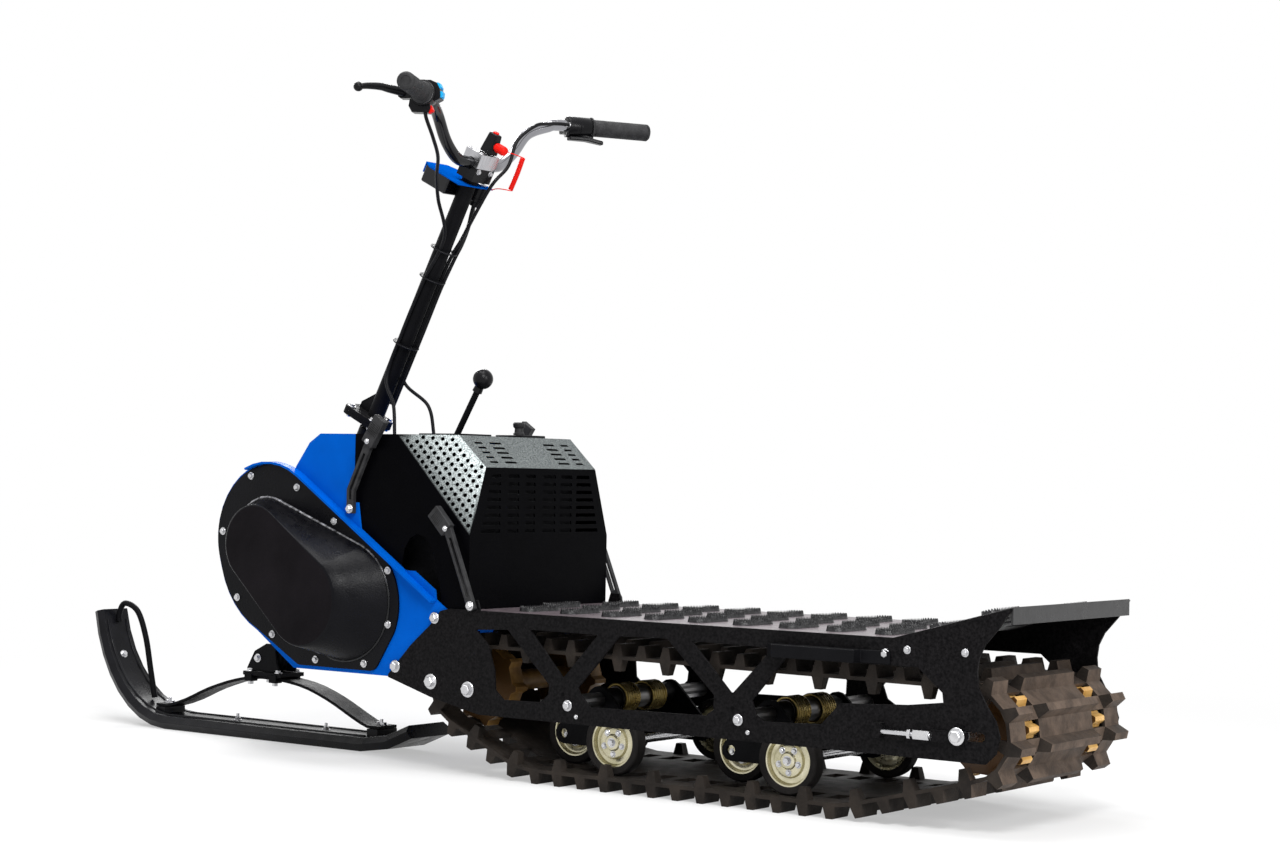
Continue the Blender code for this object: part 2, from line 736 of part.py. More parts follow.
def rear_axle():
    """Axle with a thin stud at each end, and the tensioner bolted on it outside."""
    reach = INNER - FIT
    seat = HALF_WIDTH + FIT
    half = [(AXLE_RADIUS, reach), (STUD_RADIUS, reach), (STUD_RADIUS, seat + 0.003),
            (BOLT_RADIUS, seat + 0.003), (BOLT_RADIUS, seat + 0.0125), (0.0, seat + 0.0125)]
    profile = [(radius, -place) for radius, place in reversed(half)] + half
    x, z = REAR_AXLE
    bm = turned(profile, 12)
    bm.transform(Matrix.Translation((x, 0.0, z)) @ Matrix.Rotation(-pi / 2, 4, "X"))
    obj = part("rear_axle", bm, "bright_steel", 40)
    height = z - 0.003
    for side in (-1, 1):
        ends = sorted((side * seat, side * (seat + 0.006)))
        rail = side * (seat + 0.0085)
        add(obj, block((x - 0.013, ends[0], z - 0.012), (x + 0.049, ends[1], z + 0.006)),
            rod((x + 0.047, rail, height), (TENSIONER_STOP - FIT, rail, height), 0.004, 8),
            rod((x + 0.048, rail, height), (x + 0.076, rail, height), 0.008, 6))
    return obj


# Bogies
def wheel_pair(name, x, y):
    """Two rubber-tyred discs on one axle."""
    height = BELT_OUT + WHEEL_RADIUS + FIT
    half = WHEEL_WIDTH / 2
    profile = [(0.0, -0.016), (0.014, -0.016), (0.018, -0.006), (DISC_RADIUS - 0.012, -0.004),
               (DISC_RADIUS, -half), (WHEEL_RADIUS, -half + 0.003), (WHEEL_RADIUS, half - 0.003),
               (DISC_RADIUS, half), (DISC_RADIUS - 0.010, 0.006), (0.014, 0.012), (0.0, 0.012)]
    spin = Matrix.Rotation(-pi / 2, 4, "X")
    bm = rod((x, -y, height), (x, y, height), 0.008, 10)
    obj = part(name, bm, "zinc")
    for side in (-1, 1):
        wheel = turned(profile, 12)
        turn = spin if side > 0 else spin @ Matrix.Rotation(pi, 4, "X")
        wheel.transform(Matrix.Translation((x, side * y, height)) @ turn)
        add(obj, wheel)
    return obj


ARM_Y = 0.106
SLEEVE_BORE = 0.014
SLEEVE_RADIUS = 0.019
SPRING_Y = 0.040            # middle of each torsion spring
SPRING_HALF = 0.0225
COIL_RADIUS = 0.028
COIL_SIDES = 10


def bogie(name, pivot):
    """Rocker with two arm plates joined by a tube round the cross-shaft."""
    height = BELT_OUT + WHEEL_RADIUS + FIT
    px, pz = pivot
    back = (px - WHEEL_STEP_BACK, height)
    front = (px + WHEEL_STEP_FRONT, height)
    outline = hull_of_circles([(back, 0.018), (front, 0.018), (pivot, 0.024)], 4)
    holes = [arc(back, 0.0088, 0, 324, 9), arc(front, 0.0088, 0, 324, 9),
             arc(pivot, 0.0150, 0, 324, 9)]
    pieces = []
    for side in (-1, 1):
        bm = sheet(outline, 0.006, holes)
        bm.transform(upright(side * ARM_Y - 0.003))
        pieces.append(bm)
    sleeve = turned([(SLEEVE_BORE, -ARM_Y), (SLEEVE_RADIUS, -ARM_Y), (SLEEVE_RADIUS, ARM_Y),
                     (SLEEVE_BORE, ARM_Y)], 16, ring=True)
    sleeve.transform(Matrix.Translation((px, 0.0, pz)) @ Matrix.Rotation(-pi / 2, 4, "X"))
    obj = part(name, sleeve, "black_paint")
    return add(obj, *pieces)


def torsion_springs(name, pivot):
    """Two coiled springs on one thin sleeve round the rocker's tube."""
    inside = SLEEVE_RADIUS / cos(pi / COIL_SIDES) + FIT
    profile = [(inside, -SPRING_Y - SPRING_HALF)]
    turns = 3
    step = 2 * SPRING_HALF / turns
    for middle in (-SPRING_Y, SPRING_Y):
        for i in range(turns):
            start = middle - SPRING_HALF + step * i
            profile += [(COIL_RADIUS - 0.004, start), (COIL_RADIUS, start + step / 2)]
        profile.append((COIL_RADIUS - 0.004, middle + SPRING_HALF))
        if middle < 0.0:
            profile += [(inside + 0.0015, -SPRING_Y + SPRING_HALF + 0.0005),
                        (inside + 0.0015, SPRING_Y - SPRING_HALF - 0.0005)]
    profile.append((inside, SPRING_Y + SPRING_HALF))
    bm = turned(profile, COIL_SIDES, ring=True)
    turn = Matrix.Rotation(-pi / 2, 4, "X")
    bm.transform(Matrix.Translation((pivot[0], 0.0, pivot[1])) @ turn)
    return part(name, bm, "gold_spring")


def cross_shaft(name, pivot):
    bm = rod((pivot[0], -INNER + FIT, pivot[1]), (pivot[0], INNER - FIT, pivot[1]), 0.0135)
    return part(name, bm, "gold_spring", 40)


# Body
def front_round(inset=0.0):
    """Front end shared by the side panels and the belt cover: the belly, then the round."""
    belly = arc(BELLY_CENTRE, BELLY_RADIUS - inset, *BELLY_ARC, 6)
    return belly + arc(ROUND_CENTRE, ROUND_RADIUS - inset, BELLY_ARC[1] - 2, ROUND_END, 14)


def blue_outline():
    """Side panel: round in front, straight down to the deck behind."""
    front = front_round()
    ear = FRONT_LATCH[0]
    front += [on_slope(ear[0] + 0.020), (ear[0] + 0.012, ear[1] + 0.012),
              (ear[0] - 0.012, ear[1] + 0.012), on_slope(ear[0] - 0.020)]
    front += [on_slope(1.015), (0.992, 0.358), (0.942, 0.326), on_slope(0.940)]
    return front + [PANEL_FOOT, (0.905, 0.262), (0.940, 0.200), (1.000, 0.166),
                    (1.286, 0.166)]


def on_slope(x):
    """Point on the straight rear edge of the side panels."""
    top = arc(ROUND_CENTRE, ROUND_RADIUS, ROUND_END, ROUND_END, 1)[0]
    slope = (top[1] - PANEL_FOOT[1]) / (top[0] - PANEL_FOOT[0])
    return (x, PANEL_FOOT[1] + slope * (x - PANEL_FOOT[0]))


def panel_lip(side):
    """Lip folded outwards along the panel's straight rear edge and onto its round top."""
    bend = arc(ROUND_CENTRE, ROUND_RADIUS, ROUND_END, LIP_END, 6)
    start = on_slope(LIP_START)
    slope = Vector((bend[0][0] - start[0], bend[0][1] - start[1])).normalized()
    normals = [Vector((-slope.y, slope.x))]
    for place in bend:
        normals.append((Vector(place) - Vector(ROUND_CENTRE)).normalized())
    normals[1] = (normals[0] + normals[1]).normalized()
    near = side * (PANEL_OUT - SHEET / 2)
    far = side * (INNER + LIP_DEPTH)
    sections = []
    for place, normal in zip([start, *bend], normals):
        top = Vector(place) - normal * FIT
        low = top - normal * SHEET
        sections.append([(top.x, near, top.y), (top.x, far, top.y), (low.x, far, low.y),
                         (low.x, near, low.y)])
    return loft(sections)


def side_panel(name, side):
    low = PANEL_IN if side > 0 else -PANEL_OUT
    bm = sheet(blue_outline(), SHEET)
    bm.transform(upright(low))
    return add(part(name, bm, "blue_paint"), panel_lip(side))


def belt_cover():
    """Flat flange on the side panel with a dome that draws in towards its face."""
    base = hull_of_circles(DOME_BASE, 14)
    face = hull_of_circles(DOME_FACE, 14)
    inside = INNER + FIT
    behind = arc(*COVER_BACK, 9) + arc(*COVER_HEEL, 4)
    flange = sheet(front_round(PANEL_RIM) + behind + arc(*COVER_TOE, 3), SHEET)
    flange.transform(upright(inside))
    obj = part("belt_cover", flange, "black_paint")
    dome = loft([[(x, inside + SHEET / 2, z) for x, z in base],
                 [(x, inside + COVER_DEPTH, z) for x, z in face]])
    return add(obj, dome)


COWL_CORNERS = ((HOOD_TOP, 1.235), (HOOD_TOP - 0.017, 1.262), (HOOD_TOP - 0.062, 1.296),
                (DECK_HEIGHT, 1.409))


def hood():
    profile = [(HOOD_REAR, BED_HEIGHT + FIT), (HOOD_FRONT, BED_HEIGHT + FIT),
               (HOOD_FRONT, HOOD_TOP), (HOOD_TOP_REAR, HOOD_TOP), (HOOD_REAR, HOOD_REAR_TOP)]
    bm = sheet(profile, 2 * HOOD_HALF)
    bm.transform(upright(-HOOD_HALF))
    return bm


ARCH = ((0.931, 0.280), (0.931, 0.318), (0.941, 0.362), (0.954, 0.398), (0.972, 0.420),
        (0.990, 0.425), (1.008, 0.416), (1.020, 0.398), (1.026, 0.370), (1.028, 0.280))
GRILLE_COLUMNS = ((0.097, 0.065), (0.047, 0.018), (-0.004, -0.042), (-0.055, -0.091))
GRILLE_ENDS = ((0.144, 0.117), (-0.103, -0.144))
GRILLE_ROWS = 8
GRILLE_TOP = 0.532
GRILLE_LOW = 0.433
GRILLE_FLARE = 0.028        # how much wider the lowest row is than the top one, each side
SLOT_HALF = 0.0032
TOP_SLOTS = ((0.137, 0.114), (0.095, 0.061), (-0.061, -0.095), (-0.114, -0.137))
TOP_ROWS = 5


def slot_cutter(left, right, half, depth):
    """Long cutter across the hood, with its depth towards local +Z."""
    return sheet([(left, -half), (left - half / 2, half), (right + half / 2, half),
                  (right, -half)], depth)


def rear_slots():
    """All cutters of the grille in the hood's rear face."""
    bm = bmesh.new()
    for row in range(GRILLE_ROWS):
        share = row / (GRILLE_ROWS - 1)
        height = GRILLE_TOP + (GRILLE_LOW - GRILLE_TOP) * share
        flare = GRILLE_FLARE * share
        ends = ((GRILLE_ENDS[0][0] + flare, GRILLE_ENDS[0][1]),
                (GRILLE_ENDS[1][0], GRILLE_ENDS[1][1] - flare))
        for left, right in GRILLE_COLUMNS + ends:
            cutter = slot_cutter(left, right, SLOT_HALF, 0.04)
            turn = Matrix(((0, 0, 1, HOOD_REAR - 0.02), (1, 0, 0, 0), (0, 1, 0, height),
                           (0, 0, 0, 1)))
            cutter.transform(turn)
            join(bm, cutter)
    return bm


def top_slots():
    """All cutters of the two groups of slots in the leaning face above the grille."""
    low = Vector((HOOD_REAR, 0.0, HOOD_REAR_TOP))
    high = Vector((HOOD_TOP_REAR, 0.0, HOOD_TOP))
    up = (high - low).normalized()
    out = Vector((-up.z, 0.0, up.x))
    bm = bmesh.new()
    for row in range(TOP_ROWS):
        centre = low.lerp(high, 0.17 + 0.60 * row / (TOP_ROWS - 1)) - out * 0.02
        turn = Matrix(((0, up.x, out.x, centre.x), (1, 0, 0, 0), (0, up.z, out.z, centre.z),
                       (0, 0, 0, 1)))
        for left, right in TOP_SLOTS:
            cutter = slot_cutter(left, right, SLOT_HALF * 0.8, 0.04)
            cutter.transform(turn)
            join(bm, cutter)
    return bm


def hood_shell():
    solid = hood()
    for side in (-1, 1):
        low = Vector((HOOD_REAR, side * HOOD_HALF, CHAMFER_LOW))
        front = Vector((CHAMFER_FRONT, side * HOOD_HALF, HOOD_TOP))
        high = Vector((HOOD_TOP_REAR, side * CHAMFER_HALF, HOOD_TOP))
        normal = (front - low).cross(high - low).normalized()
        if normal.y * side < 0:
            normal.negate()
        cut_off = bmesh.ops.bisect_plane(solid, geom=solid.verts[:] + solid.edges[:]
                                         + solid.faces[:], plane_co=low, plane_no=normal,
                                         clear_outer=True)
        rim = [g for g in cut_off["geom_cut"] if isinstance(g, bmesh.types.BMEdge)]
        bmesh.ops.contextual_create(solid, geom=rim)
    bmesh.ops.dissolve_limit(solid, angle_limit=radians(1), verts=solid.verts,
                             edges=solid.edges)
    bmesh.ops.recalc_face_normals(solid, faces=solid.faces)
    open_sides = [f for f in solid.faces if f.normal.z < -0.9 or f.normal.x > 0.9]
    bmesh.ops.delete(solid, geom=open_sides, context="FACES_ONLY")
    obj = shell("hood", solid, "hood_paint")
    for line, seat in ((REAR_LATCH, HALF_WIDTH), (FRONT_LATCH, PANEL_OUT)):
        x, z = line[2]
        for side in (-1, 1):
            ends = sorted((side * (HOOD_HALF - THIN_SHEET / 2), side * seat))
            add(obj, block((x - 0.007, ends[0], z - 0.007), (x + 0.007, ends[1], z + 0.007)))
    arch = sheet(ARCH, 3 * HOOD_HALF)
    arch.transform(upright(-1.5 * HOOD_HALF))
    cut(obj, arch, rear_slots(), top_slots())
    slot = block((LEVER_SLOT[0], LEVER_Y - 0.010, HOOD_TOP - 0.02),
                 (LEVER_SLOT[1], LEVER_Y + 0.010, HOOD_TOP + 0.02))
    return cut(obj, slot)


def cowl():
    """Blue nose with a faceted front, open below and behind."""
    bm = bmesh.new()
    grid = []
    back = HOOD_FRONT + 0.001
    for height, corner in COWL_CORNERS:
        front = nose_front(height)
        row = [(back, -HOOD_HALF), (corner, -HOOD_HALF), (front, -NOSE_HALF),
               (front, NOSE_HALF), (corner, HOOD_HALF), (back, HOOD_HALF)]
        grid.append([bm.verts.new((x, y, height)) for x, y in row])
    for high, low in zip(grid, grid[1:]):
        for i in range(len(high) - 1):
            bm.faces.new((high[i], low[i], low[i + 1], high[i + 1]))
    roof = bm.faces.new(grid[0])
    bmesh.ops.recalc_face_normals(bm, faces=bm.faces)
    if roof.normal.z < 0.0:
        bmesh.ops.reverse_faces(bm, faces=bm.faces)
    obj = shell("nose_cowl", bm, "blue_paint")
    floor = BED_HEIGHT + FIT
    cut(obj, block((back - 0.1, -HALF_WIDTH, floor - 0.1), (back + 0.6, HALF_WIDTH, floor)))
    middle = on_axis(HOOD_TOP)
    return cut(obj, rod(middle - AXIS * 0.03, middle + AXIS * 0.03, HEAD_RADIUS + FIT, 20))


def head_tube():
    """Bearing tube of the steering, with a gusset back to the underside of the deck."""
    top = on_axis(HOOD_TOP + 0.014)
    low = on_axis(0.176)
    long = (top - low).length
    bm = turned([(HEAD_BORE, 0.0), (HEAD_RADIUS, 0.0), (HEAD_RADIUS, long),
                 (HEAD_BORE, long)], 20, ring=True)
    bm.transform(facing(AXIS, low))
    obj = part("head_tube", bm, "black_paint", 40)
    under = DECK_HEIGHT - SHEET - FIT
    high = on_axis(under) - Vector((HEAD_RADIUS - 0.002, 0.0, 0.0))
    foot = on_axis(0.195) - Vector((HEAD_RADIUS - 0.002, 0.0, 0.0))
    gusset = sheet([(high.x, under), (1.250, under), (1.250, under - 0.020),
                    (foot.x, foot.z)], 0.006)
    gusset.transform(upright(-0.003))
    return add(obj, gusset)


def engine():
    bm = block((ENGINE_REAR, -ENGINE_HALF, BED_HEIGHT + FIT),
               (ENGINE_FRONT, ENGINE_HALF, ENGINE_TOP))
    return part("engine", bm, "engine")


def hood_latch(name, line, seat, side):
    """Rubber strap with a slot, from its bolt on the frame up to a ribbed handle."""
    foot, bend, keeper, end = (Vector(point) for point in line)
    run = (bend - foot).normalized() * LATCH_HALF
    strap = ribbon([tuple(foot - run), tuple(bend), tuple(keeper)], LATCH_HALF)
    slot = ribbon([tuple(foot + 2 * run), tuple(bend), tuple(keeper.lerp(bend, 0.25))],
                  LATCH_SLOT)
    bm = sheet(strap, LATCH_THICK, [slot])
    low = seat + FIT if side > 0 else -seat - FIT - LATCH_THICK
    bm.transform(upright(low))
    obj = part(name, bm, "rubber")
    handle = sheet(ribbon([tuple(keeper.lerp(bend, 0.06)), tuple(end)], HANDLE_HALF),
                   HANDLE_THICK)
    low = seat + FIT if side > 0 else -seat - FIT - HANDLE_THICK
    handle.transform(upright(low))
    return add(obj, handle)


def gear_lever():
    """Leaning rod that stands on the gearbox, through the hood's slot, with a round knob."""
    top = HOOD_TOP + KNOB_RISE
    lean = atan2(LEVER_BACK, top - ENGINE_TOP)
    seat = ENGINE_TOP + LEVER_RADIUS * sin(lean) + 2 * FIT
    foot = Vector((LEVER_FOOT, LEVER_Y, seat))
    knob = Vector((LEVER_FOOT - LEVER_BACK, LEVER_Y, top))
    obj = part("gear_lever", rod(foot, knob, LEVER_RADIUS, 12), "black_plastic", 40)
    ball = bmesh.new()
    bmesh.ops.create_uvsphere(ball, u_segments=14, v_segments=8, radius=KNOB_RADIUS)
    ball.transform(Matrix.Translation(knob))
    return add(obj, ball)


# Steering parts
def stem():
    """Shaft in the head tube, foot flange above it and ski saddle below it."""
    saddle_low = SPRING_TOP + FIT
    low = on_axis(saddle_low - STEM_RADIUS)
    top = on_axis(HOOD_TOP) + AXIS * (FLANGE_LOW + FLANGE / 2)
    obj = part("steering_stem", rod(low, top, STEM_RADIUS, 20), "black_paint", 40)
    middle = on_axis(saddle_low).x
    reach = 3 * STEM_RADIUS
    cut(obj, block((middle - reach, -reach, saddle_low - reach),
                   (middle + reach, reach, saddle_low + SADDLE / 2)))
    saddle = block((middle - 0.055, -SPRING_WIDTH / 2 - 0.008, saddle_low),
                   (middle + 0.050, SPRING_WIDTH / 2 + 0.008, saddle_low + SADDLE))
    return add(obj, saddle, foot_flange(FLANGE_LOW))


def foot_flange(height):
    """Plate across the axis, longer ahead of it than behind."""
    outline = hull_of_circles([((FLANGE_BACK, -FLANGE_HALF), 0.008),
                               ((FLANGE_FRONT, -FLANGE_HALF), 0.012),
                               ((FLANGE_FRONT, FLANGE_HALF), 0.012),
                               ((FLANGE_BACK, FLANGE_HALF), 0.008)], 3)
    bm = sheet(outline, FLANGE)
    bm.transform(axis_frame(HOOD_TOP) @ Matrix.Translation((0.0, 0.0, height)))
    return bm


def column():
    """Mast from the foot flange to the handlebar clamp, with a gusset in front."""
    frame = axis_frame(HOOD_TOP)
    base = FLANGE_LOW + FLANGE + FIT
    low = frame @ Vector((0.0, 0.0, base + FLANGE / 2))
    top = frame @ Vector((0.0, 0.0, COLUMN_TOP))
    obj = part("steering_column", rod(low, top, COLUMN_RADIUS, 20), "black_paint", 40)
    gusset = sheet([(0.010, base + 0.004), (FLANGE_FRONT, base + 0.004),
                    (FLANGE_FRONT, base + 0.020), (COLUMN_RADIUS + 0.001, 0.085),
                    (0.010, 0.085)], 0.006)
    gusset.transform(frame @ upright(-0.003))
    return add(obj, foot_flange(FLANGE_LOW + FLANGE + FIT), gusset)


GRIP_AXIS = Vector((-0.475, 0.880, 0.0)).normalized()
BAR_END = Vector((0.903, BAR_HALF, BAR_HEIGHT))
BAR_MIDDLE = Vector((1.035, 0.0, 1.118))


def bar_route():
    """Left half of the handlebar from its middle to its end."""
    return [BAR_MIDDLE, BAR_MIDDLE + Vector((0.0, 0.034, 0.0)), Vector((1.036, 0.064, 1.123)),
            Vector((1.033, 0.098, 1.150)), Vector((1.025, 0.130, 1.190)),
            BAR_END - GRIP_AXIS * 0.215 - Vector((0.0, 0.0, 0.005)),
            BAR_END - GRIP_AXIS * 0.190, BAR_END - GRIP_AXIS * 0.080,
            BAR_END - GRIP_AXIS * 0.004]


def mirrored(point):
    return Vector((point.x, -point.y, point.z))


def handlebar():
    left = bar_route()
    right = [mirrored(p) for p in reversed(left[1:])]
    return tube("handlebar", right + left, BAR_RADIUS, "black_paint", 0.024, 2)


def bar_frame(side, inset):
    """Local +Z outwards along the grip, from a point at an inset from the bar's end."""
    spot = BAR_END - GRIP_AXIS * inset
    along = GRIP_AXIS
    if side < 0:
        spot = mirrored(spot)
        along = mirrored(along)
    forward = Vector((0.0, 0.0, 1.0)).cross(along) * -side
    up = along.cross(forward)
    turn = Matrix((forward, up, along)).transposed().to_4x4()
    return Matrix.Translation(spot) @ turn


def grip(name, side):
    bore = BAR_RADIUS + BAR_CLEAR
    wall = 0.003
    bm = turned([(0.0, GRIP_LENGTH), (GRIP_RADIUS - 0.003, GRIP_LENGTH),
                 (GRIP_RADIUS, GRIP_LENGTH - 0.003), (GRIP_RADIUS, 0.006),
                 (GRIP_RADIUS + 0.004, 0.003), (GRIP_RADIUS + 0.004, 0.0), (bore, 0.0),
                 (bore, GRIP_LENGTH - wall), (0.0, GRIP_LENGTH - wall)], 20)
    bm.transform(bar_frame(side, GRIP_LENGTH))
    return part(name, bm, "rubber", 40)


def control_ring(side, radius, length, gap):
    """Clamp round the bar just inboard of the grip."""
    bore = BAR_RADIUS + BAR_CLEAR
    bm = turned([(bore, 0.0), (radius, 0.0), (radius, length), (bore, length)], 20, ring=True)
    bm.transform(bar_frame(side, GRIP_LENGTH + gap + length))
    return bm


def control_box(side, low, high):
    bm = block(low, high)
    bm.transform(bar_frame(side, GRIP_LENGTH))
    return bm


def controls():
    left = part("switch_housing", control_ring(1, HOUSING_RADIUS, 0.036, 0.001),
                "black_plastic", 40)
    add(left, control_box(1, (0.014, -0.014, -0.030), (0.046, 0.010, -0.008)))
    right = part("throttle_housing", control_ring(-1, THROTTLE_RADIUS, 0.050, 0.001),
                 "black_plastic", 40)
    add(right, control_box(-1, (0.014, -0.012, -0.046), (0.046, 0.010, -0.024)))


def brake_lever():
    """Tapered hand lever with a ball end, ahead of the left grip."""
    frame = bar_frame(1, GRIP_LENGTH)
    route = [(0.036, -0.002, -0.008 + FIT), (0.056, -0.002, 0.014), (0.068, 0.000, 0.032),
             (0.086, 0.006, 0.052), (0.099, 0.010, 0.066)]
    bm = loft([[frame @ Vector((x + dx * w, y + dy * w, z)) for dx, dy in
                ((-1.0, -0.6), (1.0, -0.6), (1.0, 0.6), (-1.0, 0.6))]
               for (x, y, z), w in zip(route, (0.006, 0.008, 0.007, 0.006, 0.005))])
    obj = part("brake_lever", bm, "black_paint")
    ball = bmesh.new()
    bmesh.ops.create_uvsphere(ball, u_segments=10, v_segments=6, radius=0.008)
    ball.transform(frame @ Matrix.Translation(route[-1]))
    return add(obj, ball)


def throttle_lever():
    """Thumb blade under the right-hand housing, reaching outwards below the grip."""
    frame = bar_frame(-1, GRIP_LENGTH)
    under = -THROTTLE_RADIUS
    route = [(0.000, under - 0.0045, -0.046), (-0.004, under - 0.0050, -0.010),
             (-0.010, under - 0.0110, 0.022)]
    bm = loft([[frame @ Vector((x + dx * w, y + dy * 0.004, z)) for dx, dy in
                ((-1.0, -1.0), (1.0, -1.0), (1.0, 1.0), (-1.0, 1.0))]
               for (x, y, z), w in zip(route, (0.008, 0.010, 0.007))])
    return part("throttle_lever", bm, "black_plastic")


def bar_clamp():
    """Clamp block on top of the mast, bored for the handlebar."""
    frame = axis_frame(HOOD_TOP)
    bar = frame.inverted() @ BAR_MIDDLE
    body = block((bar.x - 0.021, -0.026, COLUMN_TOP + FIT),
                 (bar.x + 0.021, 0.026, bar.z + CLAMP_OVER_BAR))
    body.transform(frame)
    obj = part("bar_clamp", body, "bright_steel")
    reach = Vector((0.0, 0.04, 0.0))
    return cut(obj, rod(BAR_MIDDLE - reach, BAR_MIDDLE + reach, BAR_RADIUS + BAR_CLEAR, 20))


def on_mast(height, forward, side):
    """Point beside the mast at a height above the ground."""
    frame = axis_frame(height)
    return frame @ Vector((forward, side, 0.0))


def brake_cable():
    """From the left housing across to the mast, down it and into the hood's top."""
    route = [(0.970, 0.228, BAR_HEIGHT - HOUSING_RADIUS - 0.0009), (0.970, 0.226, 1.172),
             (0.982, 0.192, 1.140), (1.006, 0.150, 1.112), (1.043, 0.110, 1.082),
             (1.073, 0.070, 1.046), on_mast(0.985, -0.012, 0.022),
             on_mast(0.900, -0.002, CABLE_LINE), on_mast(0.800, 0.0, CABLE_LINE),
             on_mast(0.720, -0.008, CABLE_LINE + 0.003), (1.206, 0.034, 0.662),
             (1.196, 0.040, HOOD_TOP + 0.0012)]
    return tube("brake_cable", route, CABLE_RADIUS, "black_plastic", 0.040, 1)


def throttle_cable():
    """From the right housing behind the kill switch, down the mast and into the hood."""
    inner = bar_frame(-1, GRIP_LENGTH + 0.051)
    route = [inner @ Vector((-0.0155, 0.0, -FIT)), inner @ Vector((-0.0175, 0.0, -0.022)),
             (0.982, -0.138, 1.208), (0.985, -0.105, 1.200), (1.000, -0.070, 1.168),
             (1.007, -0.053, 1.118), on_mast(1.090, -0.034, -0.022),
             on_mast(0.985, -0.016, -0.022), on_mast(0.900, -0.002, -CABLE_LINE),
             on_mast(0.800, 0.0, -CABLE_LINE), on_mast(0.720, -0.010, -CABLE_LINE - 0.003),
             (1.180, -0.036, 0.664), (1.166, -0.040, HOOD_TOP + 0.0012)]
    return tube("throttle_cable", route, CABLE_RADIUS, "black_plastic", 0.040, 1)


def lanyard():
    """Pull cord of the kill switch: thin ends, and a coil as one thick length."""
    frame = axis_frame(HOOD_TOP)
    thin = COIL_OUTSIDE * CORD_SHARE + FIT
    cap = clamp_top()
    start = frame @ Vector((cap[0] - 0.035, CAP_Y - CAP_RADIUS - thin, cap[1] + CAP_RISE))
    upper = [start, (0.978, -0.045, 1.147), (0.975, -0.058, 1.143)]
    coil = [(0.978, -0.061, 1.133), (0.991, -0.061, 1.104), (1.007, -0.061, 1.074)]
    end = frame @ Vector((-0.020 - thin, -0.044, COLUMN_TOP - DASH_DROP + THIN_SHEET / 2))
    lower = [(1.015, -0.060, 1.066), (1.028, -0.056, 1.070), end]
    obj = tube("lanyard", upper + coil + lower, COIL_OUTSIDE, "red", 0.006, 1)
    for knot in obj.data.splines[0].points:
        in_coil = coil[0][2] > knot.co.z > coil[-1][2] and knot.co.y < coil[0][1] + 0.002
        knot.radius = 1.0 if in_coil else CORD_SHARE
    return obj


def dash_plate():
    """Small console on the mast below the handlebar, its front edge folded down."""
    frame = axis_frame(HOOD_TOP)
    outline = [(-0.020, -0.050), (0.062, -0.050), (0.092, -0.030), (0.092, 0.030),
               (0.062, 0.050), (-0.020, 0.050)]
    hole = arc((0.0, 0.0), COLUMN_RADIUS + FIT, 0, 342, 19)
    bm = sheet(outline, THIN_SHEET, [hole])
    bm.transform(frame @ Matrix.Translation((0.0, 0.0, COLUMN_TOP - DASH_DROP)))
    obj = part("dash_plate", bm, "blue_paint")
    face = block((0.089, -0.030, COLUMN_TOP - 0.030), (0.092, 0.030, COLUMN_TOP - 0.010))
    face.transform(frame)
    return add(obj, face)


def dash_box():
    """Black housing under the console, ahead of the mast."""
    frame = axis_frame(HOOD_TOP)
    top = COLUMN_TOP - DASH_DROP - FIT
    bm = block((COLUMN_RADIUS + 0.004, -0.034, top - 0.034), (0.086, 0.034, top))
    bm.transform(frame)
    return part("dash_box", bm, "black_plastic")


def ignition_switch():
    """Round switch body hanging under the console behind the mast, to the right."""
    frame = axis_frame(HOOD_TOP)
    top = COLUMN_TOP - DASH_DROP - FIT
    bm = turned([(0.0, 0.0), (0.011, 0.0), (0.015, 0.010), (0.015, 0.040), (0.0, 0.040)], 16)
    bm.transform(frame @ Matrix.Translation((-0.004, -0.034, top - 0.040)))
    return part("ignition_switch", bm, "black_plastic", 40)


def clamp_top():
    """Where the clamp's flat top lies, in the axis frame: forward place and height."""
    bar = axis_frame(HOOD_TOP).inverted() @ BAR_MIDDLE
    return bar.x, bar.z + CLAMP_OVER_BAR


def switch_post():
    """Black switch body standing on the clamp."""
    x, top = clamp_top()
    bm = block((x - 0.016, -0.026, top + FIT), (x + 0.016, -0.002, top + 0.040))
    bm.transform(axis_frame(HOOD_TOP))
    return part("kill_switch_body", bm, "black_plastic")


def kill_switch():
    """Red cap that the lanyard pulls off, on the rear of the switch body."""
    x, top = clamp_top()
    start = (x - 0.016 - FIT, CAP_Y, top + CAP_RISE)
    bm = rod(start, (x - 0.042, CAP_Y, top + CAP_RISE), CAP_RADIUS, 14)
    bm.transform(axis_frame(HOOD_TOP))
    return part("kill_switch", bm, "red", 40)


SKI_TOP = 0.026
SKI_BLOCK = 0.015


